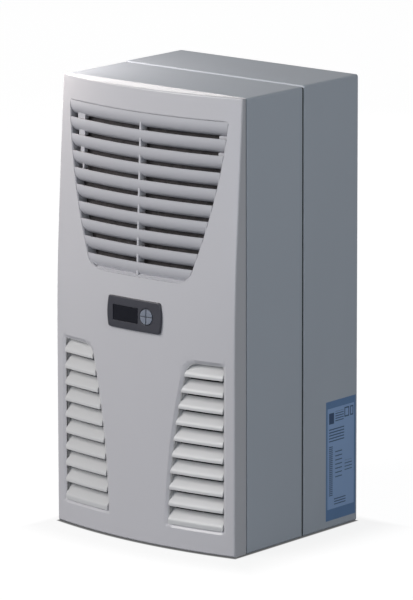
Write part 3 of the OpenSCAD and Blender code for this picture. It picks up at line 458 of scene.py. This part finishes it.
# Stations of the rim: how far it lies out from the outline, then how far in from the front or
# at which plane. It rolls over, runs back along the sides, turns in, and meets the inner skin.
stations = [(roll * math.sin(a), roll * (1 - math.cos(a)), None)
            for a in map(math.radians, (18, 36, 54, 72, 90))]
stations += [(roll, None, -0.0845), (roll - 0.0002, None, -0.084), (roll - 0.0006, None, -0.0838),
             (roll - wall, None, -0.0838), (roll - wall, wall, None)]
edges, last = outline, {v: (v.co.copy(), outward(v)) for e in outline for v in e.verts}
for out, inward, plane in stations:
    ends, edges = drawn_out(bm, edges)
    before = {spot(v): v for v in last}
    last = {v: last[before[spot(v)]] for v in ends}
    for v, (at, way) in last.items():
        v.co.x, v.co.z = at.x + way[0] * out, at.z + way[1] * out
        v.co.y = skin_y(v.co.x, v.co.z, inward) if plane is None else plane
for v in bm.verts:
    if v not in inner and v.co.y == 0:
        v.co.y = skin_y(v.co.x, v.co.z)

outlet_holes = [e for e in holes if all(v.co.z < outlets_high for v in e.verts)]
ends, brims = drawn_out(bm, outlet_holes)
for v in ends:
    onto_outlet(v, apron_drop)
holes = [e for e in holes if e not in outlet_holes] + brims
for v in inner:
    if v.is_boundary and openings_low < v.co.z < outlets_high and abs(v.co.x) < 0.13:
        onto_outlet(v, wall)
for v in drawn_out(bm, holes)[0]:
    v.co.y = skin_y(v.co.x, v.co.z, wall)
bm = settled(bm)
bmesh.ops.remove_doubles(bm, verts=bm.verts, dist=2e-6)
bmesh.ops.recalc_face_normals(bm, faces=bm.faces)
bmesh.ops.dissolve_limit(bm, angle_limit=math.radians(0.05), verts=bm.verts, edges=bm.edges)
mouths = [e for e in bm.edges if len(e.link_faces) == 2 and e.calc_face_angle(0) > 0.9
          and (is_mouth(e, 0) or is_mouth(e, apron_drop))]
ease(bm, mouths, 0.0007, clamp=True)

for x in (-1, 1):
    for z, boss_z in ((0.0095, 0.0105), (0.5395, 0.5385)):
        pin = add_peg(bm, (x * 0.1305, -0.08055, z), radius=0.003, length=0.0155, sides=24)
        tip = [e for e in bm.edges if all(v in pin and v.co.y > -0.0745 for v in e.verts)]
        ease(bm, tip, 0.001)
        add_brick(bm, (x * 0.1315, -0.0858, boss_z), (0.0118, 0.005, 0.0118))
moulded_grey = finish("moulded_light_grey", (0.65, 0.64, 0.66), 0.24, mottle=0.01, patch=6,
                      grain=1500, depth=0.02, spread=0.03)
piece(bm, "cover_moulding", "cover", moulded_grey, ["front_cover"], soft=28)


# ---------------------------------------------------------------- intake grille
# A moulded insert clipped in from behind. Ten scooped blades turn the air down, tied by a
# thin middle rib and by small webs near their ends, inside a thin wall with a flange.

blade_count, blade_top, blade_pitch = 10, 0.520, 0.0198
end_gap = 0.00085
insert_rear = 0.0148


def onto_front(bm, step):
    """Bends a piece that is drawn flat, with its depth along Y, round the cover's front."""
    slice_upright(bm, step)
    for v in bm.verts:
        v.co.y = skin_y(v.co.x, v.co.z, v.co.y)


def blade(bm, section, left, right):
    """A blade drawn flat from its section; left and right say where it ends at a height."""
    near = [bm.verts.new((left(z), y, z)) for y, z in section]
    cap = bm.faces.new(near)
    far = points(bmesh.ops.extrude_face_region(bm, geom=[cap], use_keep_orig=True)["geom"])
    for v in far:
        v.co.x = right(v.co.z)
    mine = set(near) | set(far)
    lips = [e for e in bm.edges if all(v in mine for v in e.verts)
            and abs(e.verts[0].co.x - e.verts[1].co.x) > 0.01 and e.calc_face_angle(0) > 1.0]
    ease(bm, lips, 0.0006)


def scoop(z, rise):
    """Section of an intake blade: an upright lip at height z and a quarter-round below it."""
    lip, radius, thick, taller = 0.0025, 0.0135, 0.002, 1.13
    turn = [math.radians(a) for a in range(0, 91, 9)]
    outer, inner = [[(radius - r * math.cos(a), z - lip - taller * r * math.sin(a)) for a in turn]
                    for r in (radius, radius - thick)]
    return [(0, z + rise)] + outer + inner[::-1] + [(thick, z + rise)]


def slat(z, foot):
    """Section of an outlet blade: a rounded lip at height z and a straight slope above it."""
    rear, high, thick = 0.0110, 0.0155, 0.0022
    lip = curve((0, z + 0.0016), (0, z + 0.0036), (0.0018, z + 0.0058), 4)
    crest = [(rear - 0.0008, z + high), (rear, z + high), (rear, z + high - 0.0022)]
    return ([(0, foot), (0, z + 0.0010)] + [tuple(p) for p in lip] + crest
            + [(thick + 0.0002, z + 0.0020), (thick, foot)])


def insert_wall(bm, rim, front):
    """The thin wall round an insert, and the flange behind the cover that holds it."""
    for grow, y0, y1 in ((-0.0002, front, insert_rear), (0.003, 0.0029, 0.0043)):
        ring = plate([rim(grow), rim(-0.0009)])
        far = set(points(bmesh.ops.extrude_face_region(ring, geom=ring.faces[:])["geom"]))
        for v in ring.verts:
            v.co.y = y1 if v in far else y0
        bmesh.ops.recalc_face_normals(ring, faces=ring.faces)
        kept = bpy.data.meshes.new("ring")
        ring.to_mesh(kept)
        ring.free()
        bm.from_mesh(kept)
        bpy.data.meshes.remove(kept)


def block(bm, low, high):
    """A plain web or rib between two corners, its upright edges eased."""
    size = [b - a for a, b in zip(low, high)]
    made = add_brick(bm, [(a + b) / 2 for a, b in zip(low, high)], size)
    front = [e for e in bm.edges if all(v in made and abs(v.co.y - low[1]) < 1e-6 for v in e.verts)
             and abs(e.verts[0].co.z - e.verts[1].co.z) > 1e-4]
    ease(bm, front, min(size[0] * 0.3, 0.0005), steps=2)


bm = bmesh.new()
for i in range(blade_count):
    blade(bm, scoop(blade_top - i * blade_pitch, rise=0 if i else 0.0007),
          lambda z: end_gap - intake_half(z), lambda z: intake_half(z) - end_gap)
rib_half, rib_front, rib_rear = 0.0014, 0.0018, 0.0130
for i in range(blade_count - 1):
    z = blade_top - i * blade_pitch
    block(bm, (-rib_half, rib_front, z - 0.0200), (rib_half, rib_rear, z - 0.0015))
for x0, x1, i, drop in ((-0.1124, -0.0982, 0, 0.0140), (-0.1091, -0.0979, 1, 0.0140),
                        (-0.1050, -0.0978, 2, 0.0140), (-0.1003, -0.0974, 3, 0.0140),
                        (0.1088, 0.1205, 0, 0.0170), (0.1086, 0.1165, 1, 0.0170)):
    z = blade_top - i * blade_pitch
    block(bm, (x0, 0.0050, z - 0.0205), (x1, 0.0115, z - drop))
block(bm, (-rib_half, rib_front, 0.3265), (rib_half, rib_rear, 0.3410))
add_brick(bm, (0, 0.0078, 0.3268), (0.166, 0.014, 0.0016),
          turn=Matrix.Rotation(math.radians(14), 4, "X"))
insert_wall(bm, intake_rim, front=0.0008)
onto_front(bm, 0.008)
grille_grey = finish("grille_grey", (0.59, 0.585, 0.61), 0.48, mottle=0.012, patch=8,
                     grain=1500, depth=0.02, spread=0.03)
piece(bm, "grille_insert", "cover", grille_grey, ["intake_grille"], soft=40)


# ---------------------------------------------------------------- outlet louvres
# Two moulded inserts, mirror twins, in a paler grey. Their ten sloping blades throw the warm
# air down past a rounded lip at the foot of each, and only a narrow slit shows between them.

slat_count, slats_head, slat_pitch = 10, 0.2335, 0.0201
slats_outer, slats_foot = 0.12385, 0.0304


def louvre(side):
    """One insert, side 1 on the right and -1 on the left."""
    def inner(z):
        return side * (outlet_inner(max(slats_foot + 0.0001, z)) + end_gap)

    def outer(z):
        return side * slats_outer

    bm = bmesh.new()
    for i in range(1, slat_count + 1):
        z = slats_head - i * slat_pitch
        section = slat(z, z if i < slat_count else slats_foot)
        blade(bm, section, *((inner, outer) if side > 0 else (outer, inner)))
    bmesh.ops.recalc_face_normals(bm, faces=bm.faces)
    insert_wall(bm, lambda grow: outlet_rim(side, grow), front=0.0027)
    onto_front(bm, 0.008)
    return bm


louvre_grey = finish("louvre_pale_grey", (0.67, 0.668, 0.665), 0.30, mottle=0.01, patch=8,
                     grain=1500, depth=0.015, spread=0.03)
for side, name in ((1, "right"), (-1, "left")):
    piece(louvre(side), "louvre_insert_" + name, "cover", louvre_grey,
          ["outlet_louvre_" + name], soft=40)


# ---------------------------------------------------------------- filter mat
# A sheet of open-cell foam, 8 mm thick, that lies behind the intake grille and is held by a
# lattice. Its cells show as dark pits, and its cut edges are a little round.

def foam(name, colour, cell, depth):
    """A foam whose open cells show as pits over a fine grain."""
    m = finish(name, colour, 0.92, mottle=0.3, patch=90, grain=cell * 2.5, depth=depth,
               spread=0.03)
    nodes, links = m.node_tree.nodes, m.node_tree.links
    cells = nodes.new("ShaderNodeTexVoronoi")
    cells.inputs["Scale"].default_value = cell
    links.new(nodes["Texture Coordinate"].outputs["Object"], cells.inputs["Vector"])
    pits = nodes.new("ShaderNodeBump")
    pits.inputs["Strength"].default_value = 0.9
    pits.inputs["Distance"].default_value = 0.0008
    links.new(cells.outputs["Distance"], pits.inputs["Height"])
    links.new(nodes["Bump"].outputs["Normal"], pits.inputs["Normal"])
    links.new(pits.outputs["Normal"], nodes["Principled BSDF"].inputs["Normal"])
    return m


def soft_sheet(outline, holes, y0, y1, step, swell):
    """A cut sheet of foam, its faces subdivided and a little uneven, its edges eased."""
    bm = plate([outline] + holes)
    slice_upright(bm, step)
    top = max(v.co.z for v in bm.verts)
    heights = [min(v.co.z for v in bm.verts) + step]
    while heights[-1] + step < top:
        heights.append(heights[-1] + step)
    slice_level(bm, heights)
    far = set(points(bmesh.ops.extrude_face_region(bm, geom=bm.faces[:])["geom"]))
    for v in bm.verts:
        wave = swell * math.sin(v.co.x * 61) * math.sin(v.co.z * 47 + 1)
        v.co.y = y1 - abs(wave) if v in far else y0 + abs(wave)
    bmesh.ops.recalc_face_normals(bm, faces=bm.faces)
    ease(bm, [e for e in bm.edges if e.calc_face_angle(0) > 1.2], 0.0009, clamp=True)
    return bm


bm = soft_sheet(box_loop(0.1205, 0.3265, 0.5195), [], y0=0.0155, y1=0.0233, step=0.012,
                swell=0.0003)
onto_front(bm, 0.012)
open_foam = foam("open_cell_foam", (0.085, 0.078, 0.080), 420, 0.3)
mat = piece(bm, "filter_mat_foam", "cover", open_foam, ["filter_mat"])


# ---------------------------------------------------------------- insulation
# A board of closed-cell foam glued to the partition. It keeps the cold side from sweating,
# and is cut out round the two lines that pass through.

line_holes = [circle(-0.105, z, 0.0125, 15) for z in (0.170, 0.200)]
bm = soft_sheet(box_loop(0.1353, 0.0047, 0.5453), line_holes, y0=0.0262, y1=0.0338, step=0.03,
                swell=0.0002)
board = piece(bm, "insulation_board", "housing", foam_rubber,
              ["insulation_foam"])


# ---------------------------------------------------------------- rating plate
# A printed film stuck in a shallow recess low on the right side: a dark border round a paler
# field, with plain blocks and ruled lines in ink. It carries no lettering.

film = finish("rating_film", (0.18, 0.30, 0.52), 0.35, mottle=0.02, patch=30, grain=2500,
              depth=0.004)
film_tree = film.node_tree
across = film_tree.nodes.new("ShaderNodeSeparateXYZ")
film_tree.links.new(film_tree.nodes["Texture Coordinate"].outputs["Object"],
                    across.inputs["Vector"])
film_low, film_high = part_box("rating_plate")
field, ink = (0.37, 0.53, 0.81), (0.08, 0.13, 0.24)


def band(source, low, high):
    """1 between two values of a socket, 0 outside them."""
    return arith(film_tree, "MULTIPLY", arith(film_tree, "GREATER_THAN", source, low),
                 arith(film_tree, "LESS_THAN", source, high))


def area(left, right, base, head):
    """1 inside a rectangle of the film, measured from its front edge and down from its top."""
    return arith(film_tree, "MULTIPLY",
                 band(across.outputs["Y"], film_low.y + left, film_low.y + right),
                 band(across.outputs["Z"], film_high.z - base, film_high.z - head))


def ruled(inside, pitch, line):
    """The part of an area that evenly spaced lines cover."""
    rows = arith(film_tree, "PINGPONG", across.outputs["Z"], pitch / 2)
    return arith(film_tree, "MULTIPLY", band(rows, -1, line / 2), inside)


def printed(inside, colour):
    """Prints a colour over what the film shows where inside is 1."""
    skin = film_tree.nodes["Principled BSDF"]
    mixed = film_tree.nodes.new("ShaderNodeMix")
    mixed.data_type = "RGBA"
    mixed.inputs["B"].default_value = (*colour, 1)
    film_tree.links.new(skin.inputs["Base Color"].links[0].from_socket, mixed.inputs["A"])
    film_tree.links.new(inside, mixed.inputs["Factor"])
    film_tree.links.new(mixed.outputs["Result"], skin.inputs["Base Color"])


printed(area(0.003, 0.054, 0.134, 0.009), field)
printed(area(0.006, 0.0155, 0.0285, 0.0150), ink)
for left, right, base, head in ((0.0355, 0.0445, 0.0240, 0.0120), (0.0465, 0.0525, 0.0240, 0.0120)):
    printed(area(left, right, base, head), ink)
    printed(area(left + 0.0014, right - 0.0014, base - 0.0016, head + 0.0016), field)
for left, right, base, head, pitch, line in (
        (0.018, 0.034, 0.027, 0.014, 0.0030, 0.0011), (0.006, 0.035, 0.052, 0.034, 0.0036, 0.0013),
        (0.006, 0.013, 0.118, 0.056, 0.0024, 0.0012), (0.018, 0.031, 0.100, 0.062, 0.0052, 0.0012),
        (0.036, 0.050, 0.092, 0.078, 0.0040, 0.0010), (0.016, 0.038, 0.131, 0.120, 0.0032, 0.0012)):
    printed(ruled(area(left, right, base, head), pitch, line), ink)
cad["rating_plate"].data.materials.clear()
cad["rating_plate"].data.materials.append(film)


# ---------------------------------------------------------------- controller
# A black-grey bezel with bulging sides, pulled against the cover by two clamps. It frames a
# smoked window, and a round four-key pad of grey silicone stands a little proud of it.

seat_z = 0.2786
seat = Matrix.Translation((-0.0015, skin_y(0, seat_z), seat_z)) @ Matrix.Rotation(-lean, 4, "X")
window_x, window_z, pad_x, pad_z = -0.0125, -0.0008, 0.0205, -0.0001
bezel_front = -0.0032


def onto_seat(bm):
    """Bends a controller piece to the cover's bow and lays it on its seat."""
    for v in bm.verts:
        v.co.y += (skin_y(half, seat_z) - skin_y(0, seat_z)) * (v.co.x / half) ** 2
    bmesh.ops.transform(bm, matrix=seat, verts=bm.verts)


def bezel_line(shrink):
    """The bezel's outline: sides that bulge, nearly straight edges above and below."""
    w, h, bulge, r = 0.0422 - shrink, 0.019 - shrink, 0.0024, max(0.0026 - shrink, 0.0004)

    def side(z):
        return w - bulge * (z / h) ** 2

    low = curve((side(h) - r, -h), (side(h), -h), (side(h - r), r - h), 4)
    up = [Vector((side((h - r) * i / 6), (h - r) * i / 6)) for i in range(-5, 6)]
    path = low + up + [Vector((p.x, -p.y)) for p in reversed(low)]
    return path + [Vector((-p.x, p.y)) for p in reversed(path)]


def rings(bm, ring, stations):
    """Walls from a ring of points through further rings, each a line at a depth, then a floor."""
    for line, y in stations:
        down = [bm.verts.new((p[0], y, p[1])) for p in line]
        for i, v in enumerate(down):
            bm.faces.new((ring[i - 1], ring[i], v, down[i - 1]))
        ring = down
    bm.faces.new(ring)


window_loop = [(window_x + x, window_z + z) for x, z in box_loop(0.0200, -0.0095, 0.0095)]
pad_loop = circle(pad_x, pad_z, 0.0102, 10)
bm = plate([bezel_line(0.0011), window_loop, pad_loop])
for v in bm.verts:
    v.co.y = bezel_front
bm.verts.ensure_lookup_table()
count = len(bezel_line(0))
rim, window_edge, pad_edge = bm.verts[:count], bm.verts[count:count + 4], bm.verts[count + 4:]
rings(bm, rim, [(bezel_line(0.0004), -0.0030), (bezel_line(0.0), -0.0023),
                (bezel_line(0.0), -0.0001), (bezel_line(0.0065), -0.0001),
                (bezel_line(0.0065), 0.0012)])
rings(bm, window_edge, [(window_loop, -0.0014)])
rings(bm, pad_edge, [(pad_loop, 0.0006)])
bmesh.ops.recalc_face_normals(bm, faces=bm.faces)
front = [e for e in bm.edges if e.calc_face_angle(0) > 1.2
         and all(abs(v.co.y - bezel_front) < 1e-6 for v in e.verts)]
ease(bm, front, 0.0004, clamp=True)
slice_upright(bm, 0.006)
onto_seat(bm)
bezel_black = finish("bezel_dark_grey", (0.064, 0.064, 0.077), 0.36, mottle=0.06, patch=40,
                     grain=1700, depth=0.02, coat=0.1)
piece(bm, "bezel_frame", "cover", bezel_black, ["controller_bezel"], soft=50)

bm = bmesh.new()
add_brick(bm, (window_x, -0.0019, window_z), (0.0396, 0.0008, 0.0186))
ease(bm, bm.edges[:], 0.0003, steps=2)
slice_upright(bm, 0.006)
onto_seat(bm)
window_black = finish("window_smoked", (0.009, 0.009, 0.014), 0.16, mottle=0.1, patch=25,
                      grain=2200, depth=0.001, coat=0.2, spread=0.03)
piece(bm, "window_pane", "cover", window_black, ["display_window"])

# Each key is a quarter of one round pad, cut back from the pad's middle lines.
key_gap, key_rear, key_length = 0.0004, -0.0004, 0.0036
silicone = finish("key_silicone", (0.22, 0.245, 0.30), 0.55, mottle=0.04, patch=60, grain=2600,
                  depth=0.01, sheen=0.2)
for name, sx, sz in (("upper_left", -1, 1), ("upper_right", 1, 1),
                     ("lower_left", -1, -1), ("lower_right", 1, -1)):
    bm = bmesh.new()
    add_peg(bm, (0, key_rear - key_length / 2, 0), radius=0.0093, length=key_length, sides=48)
    for normal in ((sx, 0, 0), (0, 0, sz)):
        slice_at(bm, [n * key_gap for n in normal], normal, one_side=True)
        bmesh.ops.holes_fill(bm, edges=[e for e in bm.edges if e.is_boundary], sides=0)
    front = [e for e in bm.edges
             if e.calc_face_angle(0) > 1.0 and all(v.co.y < -0.0039 for v in e.verts)]
    ease(bm, front, 0.0007, clamp=True)
    bmesh.ops.recalc_face_normals(bm, faces=bm.faces)
    bmesh.ops.translate(bm, vec=(pad_x, 0, pad_z), verts=bm.verts)
    onto_seat(bm)
    piece(bm, "key_cap_" + name, name + "_key", silicone, ["key_" + name], soft=50)


# ---------------------------------------------------------------- works inside, kept as made
# The compressor, coils, lines, fans' stators, wiring parts and fixings keep the CAD's shapes:
# each gets the finish it is sold in, from black enamel to bare copper and zinced sheet.

works = {
    "galvanised_sheet": finish("galvanised", (0.50, 0.52, 0.53), 0.42, metal=0.85, mottle=0.16,
                               patch=55, grain=260, depth=0.01, spread=0.12),
    "zinc_hardware": finish("zinc_plate", (0.60, 0.60, 0.57), 0.33, metal=1.0, mottle=0.08,
                            patch=120, grain=1500, depth=0.01),
    "chrome_wire": finish("bright_wire", (0.62, 0.62, 0.63), 0.22, metal=1.0, mottle=0.05,
                          patch=90, grain=900, depth=0.01),
    "nut_brass": finish("yellow_passivate", (0.60, 0.48, 0.22), 0.35, metal=1.0, mottle=0.2,
                        patch=150, grain=1200, depth=0.01),
    "rubber_black": finish("moulded_rubber", (0.022, 0.022, 0.024), 0.68, mottle=0.15,
                           patch=80, grain=1600, depth=0.04),
    "dark_plastic": finish("dark_moulding", (0.07, 0.072, 0.078), 0.50, mottle=0.08, patch=40,
                           grain=1500, depth=0.03),
    "black_paint": finish("black_enamel", (0.014, 0.014, 0.016), 0.24, mottle=0.2, patch=25,
                          grain=380, depth=0.03, coat=0.35, edge=(0.10, 0.10, 0.11)),
    "fan_metal": finish("stator_coat", (0.05, 0.05, 0.052), 0.5, metal=0.4, mottle=0.15,
                        patch=60, grain=800, depth=0.05),
    "fin_aluminium": finish("fin_stock", (0.72, 0.73, 0.74), 0.30, metal=1.0, mottle=0.06,
                            patch=70, grain=700, depth=0.01),
    "copper": finish("bare_copper", (0.72, 0.36, 0.20), 0.30, metal=1.0, mottle=0.16, patch=60,
                     grain=900, depth=0.01, spread=0.12, edge=(0.80, 0.46, 0.30)),
    "tray_plastic": finish("tray_grey", (0.42, 0.43, 0.44), 0.5, mottle=0.05, patch=30,
                           grain=1200, depth=0.02),
    "nozzle_plastic": finish("nozzle_natural", (0.66, 0.66, 0.62), 0.45, mottle=0.05, patch=60,
                             grain=1400, depth=0.02),
    "can_aluminium": finish("drawn_can", (0.62, 0.63, 0.64), 0.32, metal=1.0, mottle=0.05,
                            patch=30, grain=300, depth=0.01, stretch=(6, 6, 0.4)),
    "terminal_green": finish("terminal_green", (0.05, 0.24, 0.11), 0.45, mottle=0.06, patch=60,
                             grain=1300, depth=0.02),
    "sensor_steel": finish("sensor_sleeve", (0.55, 0.56, 0.57), 0.28, metal=1.0, mottle=0.05,
                           patch=100, grain=900, depth=0.01),
    "fan_plastic": finish("fan_black", (0.03, 0.03, 0.033), 0.42, mottle=0.1, patch=40,
                          grain=1200, depth=0.03),
}
for part in frame["record"]["subparts"]:
    node = cad[part["node"]]
    if part["material_slot"] in works and not node.hide_render:
        node.data.materials.clear()
        node.data.materials.append(works[part["material_slot"]])


# ---------------------------------------------------------------- floor, light and camera
# A floor that looks white, with a painted shadow close round the unit: a soft darkening near it and
# a thin dark line where it stands. A pale sky is brightest low down. Eight soft lamps: a large one
# from the front left and above, another from the right, and smaller ones that fill in the front,
# the left side and the back. A long lens.

def backdrop(name, amount):
    """White to the camera, dark to the light, with a painted shadow: a thin dark line where the
    unit stands, fading to a faint shade farther out.
    """
    m = bpy.data.materials.new(name)
    m.use_nodes = True
    tree = m.node_tree
    nodes, links = tree.nodes, tree.links
    matt = nodes["Principled BSDF"]
    matt.inputs["Roughness"].default_value = 0.9
    matt.inputs["Specular IOR Level"].default_value = 0.0
    bright = nodes.new("ShaderNodeEmission")
    seen = nodes.new("ShaderNodeLightPath")
    either = arith(tree, "MAXIMUM", seen.outputs["Is Camera Ray"],
                   seen.outputs["Is Transmission Ray"])
    tone = nodes.new("ShaderNodeMix")
    tone.data_type = "RGBA"
    tone.inputs["A"].default_value = (0.16, 0.17, 0.19, 1)
    tone.inputs["B"].default_value = (0.8, 0.8, 0.81, 1)
    links.new(either, tone.inputs["Factor"])
    links.new(tone.outputs["Result"], matt.inputs["Base Color"])

    # How far a place on the floor lies outside the unit's foot, which sets the painted shadow. The
    # painted shadow reaches only a quarter as far out on the left and behind.
    place = nodes.new("ShaderNodeNewGeometry")
    split = nodes.new("ShaderNodeSeparateXYZ")
    links.new(place.outputs["Position"], split.inputs["Vector"])
    x, y = split.outputs["X"], split.outputs["Y"]
    right = arith(tree, "SUBTRACT", x, half)
    left = arith(tree, "MULTIPLY_ADD", x, -4, -4 * half)
    behind = arith(tree, "MULTIPLY_ADD", y, 4, -4 * wall_face_y)
    bow = (skin_y(half, 0) - skin_y(0, 0)) / half ** 2
    bowed = arith(tree, "MULTIPLY_ADD", arith(tree, "MULTIPLY", x, x), bow, skin_y(0, 0))
    ahead = arith(tree, "SUBTRACT", bowed, y)
    away = arith(tree, "MAXIMUM", arith(tree, "MAXIMUM", right, ahead),
                 arith(tree, "MAXIMUM", left, behind))
    # Painted shadow: the floor's glow falls to a tenth in a thin line at the unit's foot, and to
    # nine tenths in a soft band round it.
    strength = 1.12
    for reach, dark in ((0.0044, 0.10), (0.09, 0.90)):
        shade = nodes.new("ShaderNodeMapRange")
        shade.interpolation_type = "SMOOTHSTEP"
        shade.inputs["From Min"].default_value = reach * 0.2
        shade.inputs["From Max"].default_value = reach
        shade.inputs["To Min"].default_value = dark
        links.new(away, shade.inputs["Value"])
        strength = arith(tree, "MULTIPLY", strength, shade.outputs["Result"])
    links.new(strength, bright.inputs["Strength"])
    mixed = nodes.new("ShaderNodeMixShader")
    links.new(arith(tree, "MULTIPLY", either, amount), mixed.inputs["Fac"])
    links.new(matt.outputs["BSDF"], mixed.inputs[1])
    links.new(bright.outputs["Emission"], mixed.inputs[2])
    links.new(mixed.outputs["Shader"], nodes["Material Output"].inputs["Surface"])
    return m


bm = bmesh.new()
bmesh.ops.create_grid(bm, x_segments=1, y_segments=1, size=14)
mesh = bpy.data.meshes.new("floor")
bm.to_mesh(mesh)
bm.free()
mesh.materials.append(backdrop("floor_white_painted_shadow", 0.86))
floor = bpy.data.objects.new("floor", mesh)
bpy.context.scene.collection.objects.link(floor)

world = bpy.data.worlds.new("sky")
bpy.context.scene.world = world
world.use_nodes = True
nodes, links = world.node_tree.nodes, world.node_tree.links
sky = nodes["Background"]
sky.inputs["Color"].default_value = (0.93, 0.97, 1.0, 1)
toward = nodes.new("ShaderNodeTexCoord")
rise = nodes.new("ShaderNodeSeparateXYZ")
links.new(toward.outputs["Generated"], rise.inputs["Vector"])
fade = nodes.new("ShaderNodeMapRange")
fade.inputs["From Max"].default_value = 0.8
fade.inputs["To Min"].default_value = 0.46
fade.inputs["To Max"].default_value = 0.03
links.new(rise.outputs["Z"], fade.inputs["Value"])
links.new(fade.outputs["Result"], sky.inputs["Strength"])
white = nodes.new("ShaderNodeBackground")
white.inputs["Color"].default_value = (1, 1, 1, 1)
seen = nodes.new("ShaderNodeLightPath")
mixed = nodes.new("ShaderNodeMixShader")
links.new(seen.outputs["Is Camera Ray"], mixed.inputs["Fac"])
links.new(sky.outputs["Background"], mixed.inputs[1])
links.new(white.outputs["Background"], mixed.inputs[2])
links.new(mixed.outputs["Shader"], nodes["World Output"].inputs["Surface"])


def lamp(name, at, aim, size, power, colour):
    """A soft rectangular lamp at one place that faces another."""
    data = bpy.data.lights.new(name, "AREA")
    data.shape = "RECTANGLE"
    data.size, data.size_y = size
    data.energy = power
    data.color = colour
    made = bpy.data.objects.new(name, data)
    bpy.context.scene.collection.objects.link(made)
    made.location = at
    made.rotation_euler = (Vector(aim) - Vector(at)).to_track_quat("-Z", "Y").to_euler()


lamp("front_softbox", (-1.0, -2.3, 1.7), (0, 0, 0.35), (1.6, 1.6), 47, (1.0, 0.98, 0.97))
lamp("slat_glint", (-1.0, -1.42, 1.9), (0.09, -0.1, 0.12), (0.3, 0.3), 3.2, (1.0, 0.98, 0.97))
lamp("low_fill", (0.4, -2.6, 0.15), (0, 0, 0.1), (1.6, 0.3), 3.5, (0.62, 0.74, 1.0))
lamp("side_softbox", (2.8, -0.7, 1.4), (0.14, 0, 0.4), (1.8, 1.8), 18.4, (0.90, 0.955, 1.0))
lamp("near_left", (-0.24, -0.088, 0.64), (-0.05, -0.06, 0.55), (0.1, 0.1), 0.4,
     (1.0, 0.91, 0.86))
lamp("rear_fill", (-0.6, 2.6, 0.33), (0, 0.125, 0.28), (1.3, 0.4), 15, (1.0, 0.99, 0.98))
lamp("left_fill", (-2.6, 0.5, 0.33), (-0.14, 0.05, 0.28), (1.2, 0.4), 8, (1.0, 0.99, 0.98))
lamp("back_strip", (-3.0, 2.96, 1.28), (0, 0, 0.55), (0.95, 0.45), 4.6, (1.0, 0.97, 0.975))

lens = bpy.data.cameras.new("camera")
lens.lens = 305.167
lens.sensor_width = 36
lens.clip_start, lens.clip_end = 0.5, 60
camera = bpy.data.objects.new("camera", lens)
bpy.context.scene.collection.objects.link(camera)
camera.matrix_world = Matrix((
    (0.763517, -0.136410, 0.631214, 3.870837), (0.645781, 0.165036, -0.745473, -4.561965),
    (-0.002483, 0.976810, 0.214096, 1.587144), (0, 0, 0, 1)))
bpy.context.scene.camera = camera
bpy.context.scene.view_settings.view_transform = "Standard"
